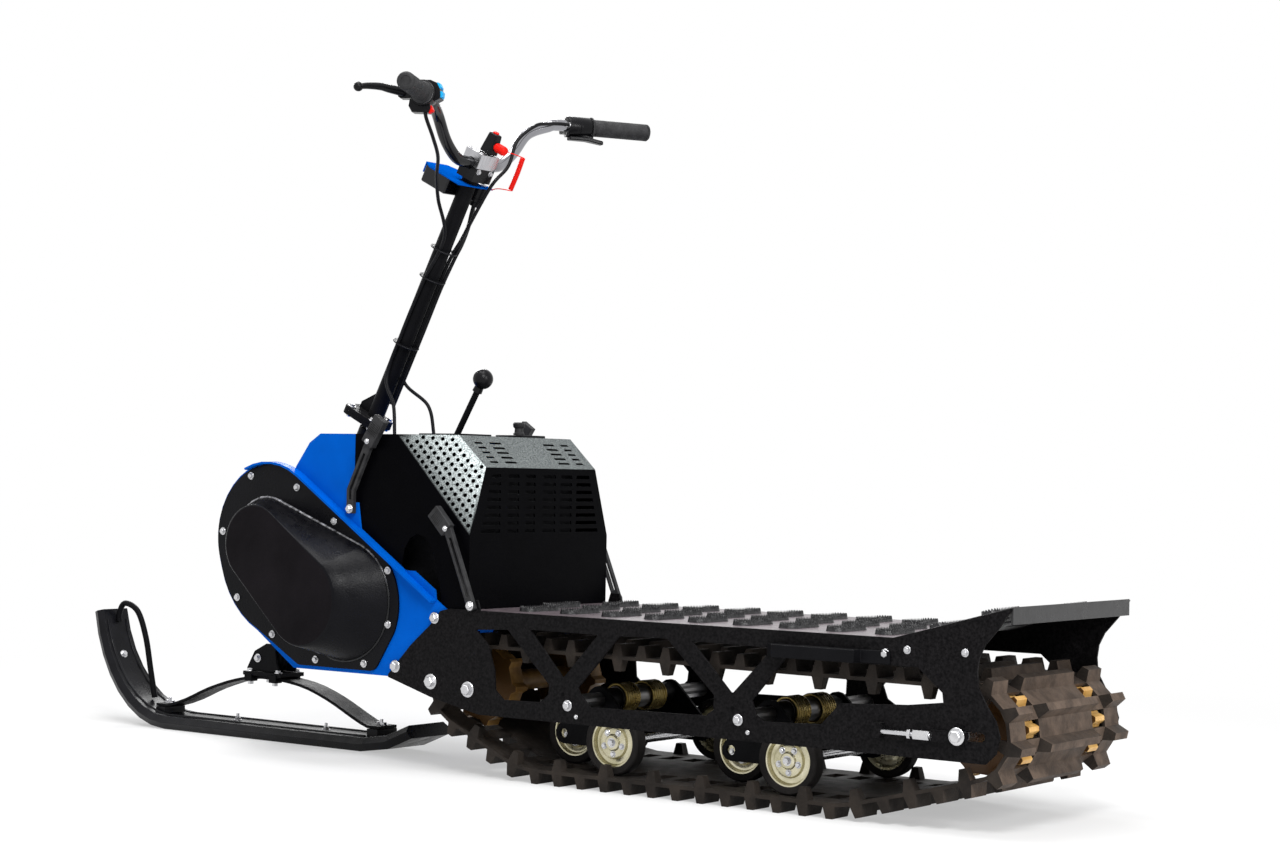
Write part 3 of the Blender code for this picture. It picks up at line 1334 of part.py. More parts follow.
def ski():
    """Loft of tub-shaped sections along the sole and up the toe."""
    stations = [(SKI_REAR, 0.035), (SKI_REAR + 0.060, 0.010), (SKI_REAR + 0.130, 0.0),
                (SKI_BEND, 0.0)]
    rise = TOE[1]
    run = TOE[0] - SKI_BEND
    steep = radians(78)
    for i in range(1, 9):
        angle = steep * i / 8
        stations.append((SKI_BEND + run * sin(angle) / sin(steep),
                         rise * (1 - cos(angle)) / (1 - cos(steep))))
    sections = []
    for i, (x, z) in enumerate(stations):
        ahead = stations[min(i + 1, len(stations) - 1)]
        behind = stations[max(i - 1, 0)]
        along = Vector((ahead[0] - behind[0], 0.0, ahead[1] - behind[1])).normalized()
        up = Vector((-along.z, 0.0, along.x))
        share = max(0.0, (x - SKI_BEND) / run)
        half = SKI_HALF * (1 - 0.35 * share)
        base = Vector((x, 0.0, z))
        points = [(-half * 0.85, 0.0), (half * 0.85, 0.0), (half, 0.014), (half * 0.80, SKI_TOP),
                  (-half * 0.80, SKI_TOP), (-half, 0.014)]
        sections.append([base + Vector((0, y, 0)) + up * h for y, h in points])
    obj = part("ski", loft(sections), "black_plastic")
    for x in SPRING_FEET:
        seat = block((x - 0.014, -0.028, SKI_TOP - 0.006), (x + 0.014, 0.028,
                                                          SKI_TOP + SKI_BLOCK))
        add(obj, seat)
    return obj


SPRING_FEET = (1.248, 1.838)
FOOT_HEIGHT = SKI_TOP + SKI_BLOCK + FIT + SPRING_THICK / 2
SPRING_TOP = 0.123


def spring_path():
    rear, front = SPRING_FEET
    peak = SPRING_TOP - SPRING_THICK / 2
    middle = on_axis(peak).x
    route = [(front + 0.016, FOOT_HEIGHT), (front - 0.016, FOOT_HEIGHT),
             (front - 0.070, FOOT_HEIGHT + 0.016), (1.700, 0.088), (1.620, 0.111),
             (middle, peak), (1.450, 0.112), (1.374, 0.090),
             (rear + 0.058, FOOT_HEIGHT + 0.016), (rear + 0.016, FOOT_HEIGHT),
             (rear - 0.016, FOOT_HEIGHT)]
    path = smooth_path([(x, 0.0, z) for x, z in route], 0.03)
    for place in path:
        place.z = max(place.z, FOOT_HEIGHT)
    return path


def leaf_spring():
    """Flat steel strip arched between the ski's two seats, under the saddle."""
    path = spring_path()
    half = SPRING_WIDTH / 2
    sections = []
    for i, place in enumerate(path):
        along = (path[min(i + 1, len(path) - 1)] - path[max(i - 1, 0)]).normalized()
        up = Vector((-along.z, 0.0, along.x)) * SPRING_THICK / 2
        if up.z < 0:
            up.negate()
        wide = Vector((0.0, half, 0.0))
        sections.append([place - wide - up, place + wide - up, place + wide + up,
                         place - wide + up])
    return part("leaf_spring", loft(sections), "black_paint")


def ski_loop():
    """Round-bar carrying loop from the toe back to the ski's top."""
    route = [(TOE[0] - 0.038, 0.0, TOE[1] - 0.020), (TOE[0] - 0.037, 0.0, TOE[1] - 0.004),
             (1.985, 0.0, 0.246), (1.945, 0.0, 0.232), (1.918, 0.0, 0.180),
             (1.900, 0.0, 0.110), (1.886, 0.0, SKI_TOP + 0.029)]
    return tube("ski_loop", route, 0.006, "black_paint", 0.025, 2)


STEERING = ("steering_stem", "steering_column", "handlebar", "bar_clamp", "grip_left",
            "grip_right", "switch_housing", "throttle_housing", "brake_lever",
            "throttle_lever", "brake_cable", "throttle_cable", "lanyard", "dash_plate",
            "dash_box", "ignition_switch", "kill_switch_body", "kill_switch", "ski",
            "leaf_spring", "ski_loop")


def move_to_origin(parts):
    """Shift every part, and hang the steered ones on an empty on the steering axis."""
    rear = REAR_AXLE[0] - PITCH_RADIUS - BELT / 2 - LUG_HEIGHT
    shift = Matrix.Translation((-(rear + TOE[0]) / 2, 0.0, 0.0))
    for obj in parts:
        obj.data.transform(shift)
    pivot = bpy.data.objects.new("steering_axis", None)
    bpy.context.scene.collection.objects.link(pivot)
    pivot.matrix_world = shift @ axis_frame(HOOD_TOP)
    for name in STEERING:
        obj = bpy.data.objects[name]
        obj.parent = pivot
        obj.matrix_parent_inverse = (shift @ axis_frame(HOOD_TOP)).inverted()


def build():
    clear_scene()
    side_plate("side_plate_left", 1)
    side_plate("side_plate_right", -1)
    step_bar("step_bar_left", 1)
    step_bar("step_bar_right", -1)
    deck()
    track()
    axle("drive_axle", DRIVE_AXLE, INNER - FIT)
    sprockets("drive_sprockets", DRIVE_AXLE)
    rear_axle()
    sprockets("rear_sprockets", REAR_AXLE)
    for label, pivot in zip(("rear", "front"), BOGIE_PIVOTS):
        bogie(label + "_bogie_arms", pivot)
        cross_shaft(label + "_bogie_shaft", pivot)
        torsion_springs(label + "_bogie_springs", pivot)
        wheel_pair(label + "_bogie_outer_wheels", pivot[0] - WHEEL_STEP_BACK, OUTER_WHEEL_Y)
        wheel_pair(label + "_bogie_inner_wheels", pivot[0] + WHEEL_STEP_FRONT, INNER_WHEEL_Y)
    side_panel("side_panel_left", 1)
    side_panel("side_panel_right", -1)
    belt_cover()
    hood_shell()
    cowl()
    head_tube()
    engine()
    for label, side in (("left", 1), ("right", -1)):
        hood_latch("rear_latch_" + label, REAR_LATCH, HALF_WIDTH, side)
        hood_latch("front_latch_" + label, FRONT_LATCH, PANEL_OUT, side)
    gear_lever()
    stem()
    column()
    handlebar()
    bar_clamp()
    for label, side in (("left", 1), ("right", -1)):
        grip("grip_" + label, side)
    controls()
    brake_lever()
    throttle_lever()
    brake_cable()
    throttle_cable()
    lanyard()
    dash_plate()
    dash_box()
    ignition_switch()
    switch_post()
    kill_switch()
    ski()
    leaf_spring()
    ski_loop()
    move_to_origin([o for o in bpy.data.objects if o.type in {"MESH", "CURVE"}])


build()
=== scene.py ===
"""Looks of the compact snowmobile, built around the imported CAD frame."""
import random
from math import acos, atan2, cos, degrees, hypot, pi, radians, sin

import bmesh
import bpy
from mathutils import Matrix, Vector


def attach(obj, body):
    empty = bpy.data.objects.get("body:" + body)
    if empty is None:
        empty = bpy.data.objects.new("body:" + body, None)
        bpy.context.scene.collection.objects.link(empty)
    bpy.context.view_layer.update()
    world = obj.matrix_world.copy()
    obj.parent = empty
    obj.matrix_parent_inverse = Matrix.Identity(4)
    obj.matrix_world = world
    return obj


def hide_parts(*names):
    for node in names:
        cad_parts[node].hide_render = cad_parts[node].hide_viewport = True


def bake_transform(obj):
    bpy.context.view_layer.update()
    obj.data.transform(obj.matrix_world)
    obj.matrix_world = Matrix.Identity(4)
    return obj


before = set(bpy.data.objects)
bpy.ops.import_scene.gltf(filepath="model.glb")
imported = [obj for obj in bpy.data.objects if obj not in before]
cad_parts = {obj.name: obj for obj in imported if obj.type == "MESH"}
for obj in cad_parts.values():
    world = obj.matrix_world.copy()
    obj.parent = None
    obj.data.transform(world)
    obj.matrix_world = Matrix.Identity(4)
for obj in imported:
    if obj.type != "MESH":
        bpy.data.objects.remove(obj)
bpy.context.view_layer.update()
random.seed(7)

SHIFT = 0.9111901       # x in this script is counted from the deck's rear fold
SAME_PLACE = 1e-6       # corners closer than this are joined
SAME_IN_CAD = 1e-5
FLAT = radians(0.6)     # faces that meet below this angle are merged
PLATE_FACE = 0.21       # y of the side plates' outer faces
PLATE_INSIDE = 0.206    # and of their inside faces
move = Matrix.Translation


def at(x, y, z):
    """Place in the frame, which has its own x counted from the middle."""
    return Vector((x - SHIFT, y, z))


def spin(angle, axis):
    """Turn about a local axis."""
    return Matrix.Rotation(angle, 4, axis)


def new_object(name, data):
    """Object added to the scene."""
    obj = bpy.data.objects.new(name, data)
    bpy.context.scene.collection.objects.link(obj)
    return obj


# Camera: the photograph's view
CAMERA_PLACE = (-2.7644, 3.4185, 0.5396)
YAW, PITCH, ROLL = 0.6314, 0.0202, 0.0201
FOCAL_PIXELS, PHOTO_WIDTH, SENSOR = 2376.2157, 1280, 36


def make_camera():
    ahead = Vector((sin(YAW) * cos(PITCH), -cos(YAW) * cos(PITCH), sin(PITCH)))
    right = ahead.cross(Vector((0, 0, 1))).normalized()
    up = right.cross(ahead)
    tilted_right = right * cos(ROLL) + up * sin(ROLL)
    tilted_up = up * cos(ROLL) - right * sin(ROLL)
    data = bpy.data.cameras.new("camera")
    data.sensor_width = SENSOR
    data.sensor_fit = "HORIZONTAL"
    data.lens = SENSOR * FOCAL_PIXELS / PHOTO_WIDTH
    data.clip_start = 0.1
    camera = new_object("camera", data)
    turn = Matrix((tilted_right, tilted_up, -ahead)).transposed().to_4x4()
    camera.matrix_world = move(CAMERA_PLACE) @ turn
    bpy.context.scene.camera = camera


make_camera()


# Shape helpers
def arc(centre, radius, start, end, steps):
    """Points along an arc between two angles in degrees."""
    return [(centre[0] + radius * cos(radians(start + (end - start) * i / steps)),
             centre[1] + radius * sin(radians(start + (end - start) * i / steps)))
            for i in range(steps + 1)]


def hull_of_circles(circles, steps):
    """Outline of a belt drawn tight round circles (centre, radius)."""
    outline = []
    turns = []
    for i, (a, ra) in enumerate(circles):
        b, rb = circles[(i + 1) % len(circles)]
        away = atan2(b[1] - a[1], b[0] - a[0])
        turns.append(away - acos((ra - rb) / hypot(b[0] - a[0], b[1] - a[1])))
    for i, (centre, radius) in enumerate(circles):
        start, end = turns[i - 1], turns[i]
        while end < start:
            end += 2 * pi
        outline += arc(centre, radius, degrees(start), degrees(end), steps)
    return outline


def facing(direction, origin):
    """Local +Z turned to a direction, moved to an origin."""
    turn = Vector(direction).to_track_quat("Z", "Y").to_matrix().to_4x4()
    return move(origin) @ turn


def skin(bm, rows, mat=0):
    """Quads between rows of corners, where each row is a closed loop."""
    for low, high in zip(rows, rows[1:]):
        for i in range(len(low)):
            j = (i + 1) % len(low)
            bm.faces.new((low[i], low[j], high[j], high[i])).material_index = mat


def turned(profile, segments=24, ring=False, mat=0, place=None, into=None):
    """Solid turned about local Z from (radius, height) pairs."""
    bm = into or bmesh.new()
    rows = []
    for radius, height in profile:
        count = 1 if radius == 0 else segments
        row = [bm.verts.new((radius * cos(2 * pi * i / segments),
                             radius * sin(2 * pi * i / segments), height))
               for i in range(count)]
        rows.append(row)
    pairs = list(zip(rows, rows[1:]))
    if ring:
        pairs.append((rows[-1], rows[0]))
    for low, high in pairs:
        for i in range(segments):
            j = (i + 1) % segments
            corners = [low[i % len(low)], low[j % len(low)],
                       high[j % len(high)], high[i % len(high)]]
            face = bm.faces.new(list(dict.fromkeys(corners)))
            face.material_index = mat
    if not ring:
        for row in (rows[0], rows[-1]):
            if len(row) > 1:
                bm.faces.new(row).material_index = mat
    if place is not None:
        bmesh.ops.transform(bm, matrix=place, verts=[v for row in rows for v in row])
    return bm


def rod(bm, radius, low, high, segments, place, mat=0):
    """Plain cylinder between two local heights."""
    return turned([(0, low), (radius, low), (radius, high), (0, high)], segments, mat=mat,
                  place=place, into=bm)


def prism(outline, low, high, place=None, mat=0, into=None):
    """Flat outline in local XY raised between two local heights."""
    bm = into or bmesh.new()
    base = [bm.verts.new((u, v, low)) for u, v in outline]
    top = [bm.verts.new((u, v, high)) for u, v in outline]
    bm.faces.new(base[::-1]).material_index = mat
    bm.faces.new(top).material_index = mat
    skin(bm, (base, top), mat)
    if place is not None:
        bmesh.ops.transform(bm, matrix=place, verts=base + top)
    return bm


def block(low, high, place=None, mat=0, into=None):
    """Box between two opposite corners."""
    (x, y, z), (x2, y2, z2) = low, high
    return prism([(x, y), (x2, y), (x2, y2), (x, y2)], z, z2, place, mat, into)


def smooth_path(points, spacing):
    """Smooth curve through points, cut into steps of about the spacing."""
    knots = [Vector(p) for p in points]
    knots = [2 * knots[0] - knots[1], *knots, 2 * knots[-1] - knots[-2]]
    path = []
    for a, b, c, d in zip(knots, knots[1:], knots[2:], knots[3:]):
        steps = max(1, int((c - b).length / spacing + 0.999))
        for i in range(steps):
            t = i / steps
            path.append(0.5 * (2 * b + (c - a) * t + (2 * a - 5 * b + 4 * c - d) * t ** 2
                               + (3 * b - a - 3 * c + d) * t ** 3))
    path.append(knots[-2])
    return path


def heading(path, i):
    """Direction of a path at one of its points."""
    return (path[min(i + 1, len(path) - 1)] - path[max(i - 1, 0)]).normalized()


def ball(radius, steps):
    """Profile of a ball round the origin, for turned."""
    return [(0, -radius), *((radius * sin(pi * i / steps), -radius * cos(pi * i / steps))
                            for i in range(1, steps)), (0, radius)]


def sweep(path, radius, sides, mat=0, into=None):
    """Round tube along a path of points."""
    bm = into or bmesh.new()
    rows = []
    along = (path[1] - path[0]).normalized()
    side = along.orthogonal().normalized()
    for i, place in enumerate(path):
        ahead = heading(path, i)
        side = (side - ahead * side.dot(ahead)).normalized()
        other = ahead.cross(side)
        size = radius[i] if isinstance(radius, list) else radius
        rows.append([bm.verts.new(place + (side * cos(2 * pi * k / sides)
                                           + other * sin(2 * pi * k / sides)) * size)
                     for k in range(sides)])
    skin(bm, rows, mat)
    bm.faces.new(rows[0][::-1]).material_index = mat
    bm.faces.new(rows[-1]).material_index = mat
    return bm


def upright(y, side=1):
    """Local XY becomes XZ at y, and local +Z points away from the middle plane."""
    return Matrix(((1, 0, 0, -SHIFT), (0, 0, side, side * y), (0, 1, 0, 0), (0, 0, 0, 1)))


# Materials
DIRECTION = ("ShaderNodeNewGeometry", "Normal")
PLACE = ("ShaderNodeTexCoord", "Object")
DUST = (0.3, 0.29, 0.28)


def source(tree, kind):
    """Socket with the surface's direction or the place in the object."""
    return tree.nodes.new(kind[0]).outputs[kind[1]]


def axis_value(tree, kind, axis):
    """One axis of the direction or of the place."""
    split = tree.nodes.new("ShaderNodeSeparateXYZ")
    tree.links.new(source(tree, kind), split.inputs["Vector"])
    return split.outputs[axis]


def noise(tree, scale, detail, rough, stretch=None):
    """Noise by place in the object."""
    node = tree.nodes.new("ShaderNodeTexNoise")
    for name, value in (("Scale", scale), ("Detail", detail), ("Roughness", rough)):
        node.inputs[name].default_value = value
    coords = source(tree, PLACE)
    if stretch:
        mapping = tree.nodes.new("ShaderNodeMapping")
        mapping.inputs["Scale"].default_value = stretch
        tree.links.new(coords, mapping.inputs["Vector"])
        coords = mapping.outputs["Vector"]
    tree.links.new(coords, node.inputs["Vector"])
    return node.outputs["Fac"]


def spread(tree, value, low, high, to_low=0, to_high=1):
    """Map a socket's value from one range to another, clamped."""
    ramp = tree.nodes.new("ShaderNodeMapRange")
    for name, number in (("From Min", low), ("From Max", high), ("To Min", to_low),
                         ("To Max", to_high)):
        ramp.inputs[name].default_value = number
    tree.links.new(value, ramp.inputs["Value"])
    return ramp.outputs["Result"]


def combined(tree, operation, *values):
    """Result of a Math node on sockets."""
    node = tree.nodes.new("ShaderNodeMath")
    node.operation = operation
    for slot, value in enumerate(values):
        tree.links.new(value, node.inputs[slot])
    return node.outputs["Value"]


def mix_colour(tree, share, first, second):
    """Colour between two others, each a socket or a colour, by a share."""
    mix = tree.nodes.new("ShaderNodeMix")
    mix.data_type = "RGBA"
    tree.links.new(share, mix.inputs[0])
    for slot, value in ((6, first), (7, second)):
        if isinstance(value, tuple):
            mix.inputs[slot].default_value = (*value, 1)
        else:
            tree.links.new(value, mix.inputs[slot])
    return mix.outputs[2]


def mix_shaders(tree, share, first, second, output):
    """Two shaders mixed by a share, as the surface of an output."""
    mix = tree.nodes.new("ShaderNodeMixShader")
    for slot, socket in enumerate((share, first.outputs[0], second.outputs[0])):
        tree.links.new(socket, mix.inputs[slot])
    tree.links.new(mix.outputs[0], tree.nodes[output].inputs["Surface"])


def finish(name, colour, rough, metal=0, tint=None, tint_scale=18, grain=0,
           grain_scale=700, spread_rough=0.08, dust=0, stretch=None, wear=None,
           sheen=0.5):
    """Principled material with mottled colour, uneven gloss, fine relief and some dust."""
    material = bpy.data.materials.new(name)
    material.use_nodes = True
    tree = material.node_tree
    inputs = tree.nodes["Principled BSDF"].inputs
    blend = spread(tree, noise(tree, tint_scale, 5, 0.6, stretch), 0.35, 0.68)
    base = mix_colour(tree, blend, colour, tint or tuple(c * 1.5 for c in colour))
    if dust:
        upward = spread(tree, axis_value(tree, DIRECTION, "Z"), 0.3, 1, 0, dust)
        patch = spread(tree, noise(tree, 90, 6, 0.7), 0.42, 0.66)
        base = mix_colour(tree, combined(tree, "MULTIPLY", upward, patch), base, DUST)
    if wear:
        marks = spread(tree, noise(tree, 60, 8, 0.75, (1, 1, 7)), 0.66, 0.72, 0, 0.6)
        base = mix_colour(tree, marks, base, wear)
    tree.links.new(base, inputs["Base Color"])
    gloss = spread(tree, noise(tree, 35, 6, 0.65), 0.3, 0.7,
                   max(0.04, rough - spread_rough), min(1, rough + spread_rough))
    tree.links.new(gloss, inputs["Roughness"])
    inputs["Metallic"].default_value = metal
    inputs["Specular IOR Level"].default_value = sheen
    if grain:
        bump = tree.nodes.new("ShaderNodeBump")
        bump.inputs["Strength"].default_value = grain
        bump.inputs["Distance"].default_value = 0.001
        tree.links.new(noise(tree, grain_scale, 2, 0.5), bump.inputs["Height"])
        tree.links.new(bump.outputs["Normal"], inputs["Normal"])
    return material


def recolour(material, share, colour):
    """Lay another colour over a material's own by a share."""
    tree = material.node_tree
    base = tree.nodes["Principled BSDF"].inputs["Base Color"]
    tree.links.new(mix_colour(tree, share, base.links[0].from_socket, colour), base)


def shade_on_flanks(material, colour):
    """Give the faces that look sideways a darker colour: painted shade on the flanks."""
    tree = material.node_tree
    sideways = combined(tree, "ABSOLUTE", axis_value(tree, DIRECTION, "Y"))
    recolour(material, spread(tree, sideways, 0.45, 0.85), colour)


def painted_reflection_on_top(material, colour):
    """Keep the material's lighter colour, a painted reflection, for the faces that look up;
    the others get the dark coat's colour.
    """
    tree = material.node_tree
    recolour(material, spread(tree, axis_value(tree, DIRECTION, "Z"), 0.8, 0.97, 1, 0), colour)


def painted_shade_below(material, low, high, colour):
    """Another colour below a height, with a soft change up to a second height: painted shade
    on the lower part.
    """
    tree = material.node_tree
    recolour(material, spread(tree, axis_value(tree, PLACE, "Z"), low, high, 1, 0), colour)


def dust_and_light_on_rear(material, light, dark):
    """Brown on the faces that look rearwards past the axle: dust that the track throws up, and
    painted light, as the track's rear is lit from behind.
    """
    tree = material.node_tree
    rearward = spread(tree, axis_value(tree, DIRECTION, "X"), -0.75, -0.25, 1, 0)
    past_axle = spread(tree, axis_value(tree, PLACE, "X"), -1.06, -0.985, 1, 0)
    patch = spread(tree, noise(tree, 20, 6, 0.7), 0.38, 0.62)
    recolour(material, combined(tree, "MULTIPLY", rearward, past_axle),
             mix_colour(tree, patch, dark, light))


BLACK = finish("black_powder_coat", (0.0035, 0.0035, 0.0042), 0.4, grain=0.35,
               grain_scale=900, dust=0.03, sheen=0.05)
PLATE = finish("wrinkled_black_plate", (0.0022, 0.0021, 0.0024), 0.36, grain=0.6,
               grain_scale=520, tint=(0.0105, 0.0098, 0.0105), tint_scale=230, dust=0.05,
               sheen=0.045)
# The deck's pinkish grey on its upward faces is a painted reflection of the bright
# surroundings at a grazing angle; its other faces are the dark coat
DECK = finish("deck_coat_painted_reflection", (0.07, 0.054, 0.062), 0.32, grain=0.4,
              tint=(0.15, 0.118, 0.134), tint_scale=40, dust=0.1, sheen=0.5)
painted_reflection_on_top(DECK, (0.003, 0.0028, 0.0034))
TEETH = finish("worn_black_coat", (0.003, 0.003, 0.0036), 0.24, grain=0.6,
               grain_scale=420, tint=(0.03, 0.03, 0.032), tint_scale=150, sheen=0.26)
BLUE = finish("blue_powder_coat", (0, 0.09, 0.49), 0.3, grain=0.1, grain_scale=500,
              tint=(0, 0.104, 0.55), spread_rough=0.05, sheen=0.02)
# A darker copy of the blue for the dash plate, which faces up under the top lamp: painted
# shade
SHADED_DASH_BLUE = finish("blue_dash_plate_painted_shade", (0, 0.075, 0.42), 0.5, grain=0.1,
                   grain_scale=500, tint=(0, 0.09, 0.48), sheen=0)
RUBBER = finish("track_rubber", (0.012, 0.0098, 0.0086), 0.6, grain=0.7,
                grain_scale=320, tint=(0.034, 0.027, 0.022), tint_scale=16, dust=0.06,
                sheen=0.12)
# Brown on the rear of the track: partly dust, partly painted light
dust_and_light_on_rear(RUBBER, (0.125, 0.09, 0.068), (0.055, 0.04, 0.031))
TYRE = finish("wheel_rubber", (0.009, 0.008, 0.008), 0.68, grain=0.5, grain_scale=420,
              tint=(0.02, 0.018, 0.017), sheen=0.1)
GRIP = finish("grip_rubber", (0.016, 0.016, 0.017), 0.5, grain=0.45,
              tint=(0.034, 0.034, 0.036), tint_scale=60, sheen=0.18)
PLASTIC = finish("black_moulding", (0.005, 0.005, 0.006), 0.36, grain=0.2,
                 grain_scale=1100, sheen=0.1)
SKI = finish("ski_plastic", (0.004, 0.004, 0.005), 0.3, grain=0.08, grain_scale=200,
             tint=(0.009, 0.009, 0.011), spread_rough=0.12, wear=(0.03, 0.03, 0.034),
             sheen=0.12)
STEEL = finish("plated_steel", (0.62, 0.62, 0.63), 0.26, 1, tint=(0.5, 0.5, 0.52),
               grain=0.1, grain_scale=400)
GUNMETAL = finish("dark_steel", (0.16, 0.16, 0.17), 0.36, 0.9, tint=(0.24, 0.23, 0.22),
                  grain=0.2)
ZINC = finish("yellow_zinc", (0.42, 0.39, 0.25), 0.26, 0.95, tint=(0.66, 0.62, 0.47),
              tint_scale=30, grain=0.15, grain_scale=300)
GOLD = finish("gold_zinc_wire", (0.26, 0.18, 0.045), 0.3, 0.9, tint=(0.46, 0.36, 0.14),
              tint_scale=60, grain=0.1)
AMBER = finish("amber_urethane", (0.5, 0.26, 0.06), 0.36, tint=(0.72, 0.46, 0.17),
               tint_scale=22, grain=0.2, grain_scale=380, sheen=0.25)
# Painted shade on the sprockets' sideways faces
shade_on_flanks(AMBER, (0.085, 0.036, 0.008))
# A darker copy of the amber for the drive sprockets: painted shade, as they sit in shade
# inside the track
SHADED_AMBER = finish("shaded_amber_urethane", (0.16, 0.08, 0.018), 0.4,
                      tint=(0.34, 0.19, 0.06), tint_scale=26, grain=0.2,
                      grain_scale=380, sheen=0.2)
shade_on_flanks(SHADED_AMBER, (0.06, 0.028, 0.007))
ALLOY = finish("machined_alloy", (0.4, 0.4, 0.42), 0.2, 1, tint=(0.56, 0.56, 0.58),
               grain=0.15, grain_scale=900, stretch=(1, 9, 1))
CAST = finish("cast_engine", (0.006, 0.006, 0.007), 0.55, 0.3, grain=0.6, grain_scale=500,
              tint=(0.016, 0.016, 0.018), sheen=0.1)
RED = finish("red_moulding", (0.66, 0.01, 0.006), 0.32, tint=(0.78, 0.016, 0.01),
             grain=0.1, sheen=0.06)
CYAN = finish("cyan_button", (0.01, 0.34, 0.7), 0.36, tint=(0.02, 0.42, 0.8), grain=0.08,
              sheen=0.1)
# Flat black that stands for the dark inside of holes, slots and the hood: painted shade
HOLE_SHADE = finish("painted_hole_shade", (0.0015, 0.0015, 0.0018), 0.75, grain=0.2, sheen=0.05)
CABLE = finish("cable_sheath", (0.004, 0.004, 0.005), 0.4, grain=0.3, grain_scale=500,
               sheen=0.12)
COVER = finish("satin_black_cover", (0.0024, 0.0024, 0.0036), 0.3, grain=0.45,
               grain_scale=420, tint=(0.004, 0.004, 0.0055), spread_rough=0.1, dust=0.02,
               sheen=0.09)
FACE = finish("matt_cover_face", (0.0042, 0.0034, 0.0044), 0.46, grain=0.35,
              grain_scale=600, tint=(0.008, 0.0066, 0.0082), tint_scale=9, sheen=0.04)
# The silver mottling on the weld bead is painted glints; below 0.33 to 0.43 m it turns dark as
# painted shade
BEAD = finish("weld_bead_painted_glints", (0.004, 0.004, 0.005), 0.16, 0.5, grain=0.8, grain_scale=260,
              tint=(0.5, 0.5, 0.53), tint_scale=95, sheen=0.4)
painted_shade_below(BEAD, 0.33, 0.43, (0.01, 0.01, 0.011))
GLOSS = finish("gloss_black_tube", (0.003, 0.003, 0.004), 0.12, grain=0.03, sheen=0.35,
               spread_rough=0.04)
SATIN = finish("satin_black_housing", (0.004, 0.004, 0.0048), 0.24, grain=0.18,
               grain_scale=1000, sheen=0.14)


CORNER_LOW = (0.867, 0.423)     # lower end of the hood's corner face, on its rear edge
CORNER_UP = (-0.713, 0, 0.701)  # direction up that face


def hammer_finish():
    """Black coat with a fine silver vein, laid with painted light: bright on the corner faces,
    dimmer towards their lower end, grey on the slope and none on the sides.
    """
    material = finish("silver_vein_painted_light", (0.0008, 0.0008, 0.0012), 0.36, grain=0.5,
                      grain_scale=520, sheen=0.018)
    tree = material.node_tree
    rise = tree.nodes.new("ShaderNodeVectorMath")
    rise.operation = "DOT_PRODUCT"
    rise.inputs[1].default_value = CORNER_UP
    tree.links.new(source(tree, PLACE), rise.inputs[0])
    foot = CORNER_UP[0] * (CORNER_LOW[0] - SHIFT) + CORNER_UP[2] * CORNER_LOW[1]
    # Painted shade: the vein dims towards the lower end of the corner faces
    shade = spread(tree, rise.outputs["Value"], foot - 0.005, foot + 0.07, 0.12, 1)
    # Painted light: no vein on faces that look sideways, and only a quarter of it on the slope
    # that looks up
    upward = spread(tree, axis_value(tree, DIRECTION, "Z"), 0.12, 0.25)
    slope = spread(tree, axis_value(tree, DIRECTION, "Z"), 0.5, 0.7, 1, 0.24)
    share = spread(tree, noise(tree, 430, 3, 0.8), 0.44, 0.55, 0.26, 1)
    for factor in (upward, slope, shade):
        share = combined(tree, "MULTIPLY", share, factor)
    recolour(material, share, (0.86, 0.95, 0.95))
    shine = spread(tree, share, 0, 1, 0, 0.3)
    tree.links.new(shine, tree.nodes["Principled BSDF"].inputs["Metallic"])
    return material


def painted_reflection_bar():
    """Glossy black tube that turns to grey polished metal towards the right-hand side: a
    painted reflection of the bright surroundings in that half.
    """
    material = finish("bar_with_painted_reflection", (0.003, 0.003, 0.004), 0.11, grain=0.02, sheen=0.35,
                      spread_rough=0.04)
    tree = material.node_tree
    # Painted reflection: grey metal instead of black on the right-hand half
    reflection_share = spread(tree, axis_value(tree, PLACE, "Y"), -0.06, 0.005, 1, 0)
    recolour(material, reflection_share, (0.3, 0.3, 0.32))
    tree.links.new(reflection_share, tree.nodes["Principled BSDF"].inputs["Metallic"])
    return material


HAMMER = hammer_finish()
BAR = painted_reflection_bar()


def mesh_object(name, bm):
    """Object from a finished working mesh."""
    mesh = bpy.data.meshes.new(name)
    bm.to_mesh(mesh)
    bm.free()
    return new_object(name, mesh)


def piece(name, bm, paints, body, smooth=40, bevel=0, replaces=(), raw=False):
    """New piece riding on a body, with its finishes and, if asked, rounded edges."""
    paints = paints if isinstance(paints, tuple) else (paints,)
    if not raw:
        bmesh.ops.remove_doubles(bm, verts=bm.verts, dist=SAME_PLACE)
        bmesh.ops.recalc_face_normals(bm, faces=bm.faces)
    obj = mesh_object(name, bm)
    for paint in paints:
        obj.data.materials.append(paint)
    obj.data.shade_smooth()
    obj.data.set_sharp_from_angle(angle=radians(smooth))
    if bevel:
        edge = obj.modifiers.new("edge", "BEVEL")
        edge.width = bevel
        edge.segments = 2
        edge.limit_method = "ANGLE"
        edge.angle_limit = radians(32)
        edge.harden_normals = True
    if body:
        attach(obj, body)
    if replaces:
        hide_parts(*replaces)
    return obj


def form(node, bm, paints, body, smooth=40, bevel=0, raw=False):
    """Piece that stands for one CAD node."""
    return piece(node + "_form", bm, paints, body, smooth, bevel, (node,), raw)


def paint_node(node, material):
    """Finish on a CAD node's own mesh."""
    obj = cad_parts[node]
    obj.data.materials.clear()
    obj.data.materials.append(material)


def merge_flat(bm):
    """Leave one face where a flat one had been split."""
    bmesh.ops.dissolve_limit(bm, angle_limit=FLAT, verts=bm.verts, edges=bm.edges)
    return bm


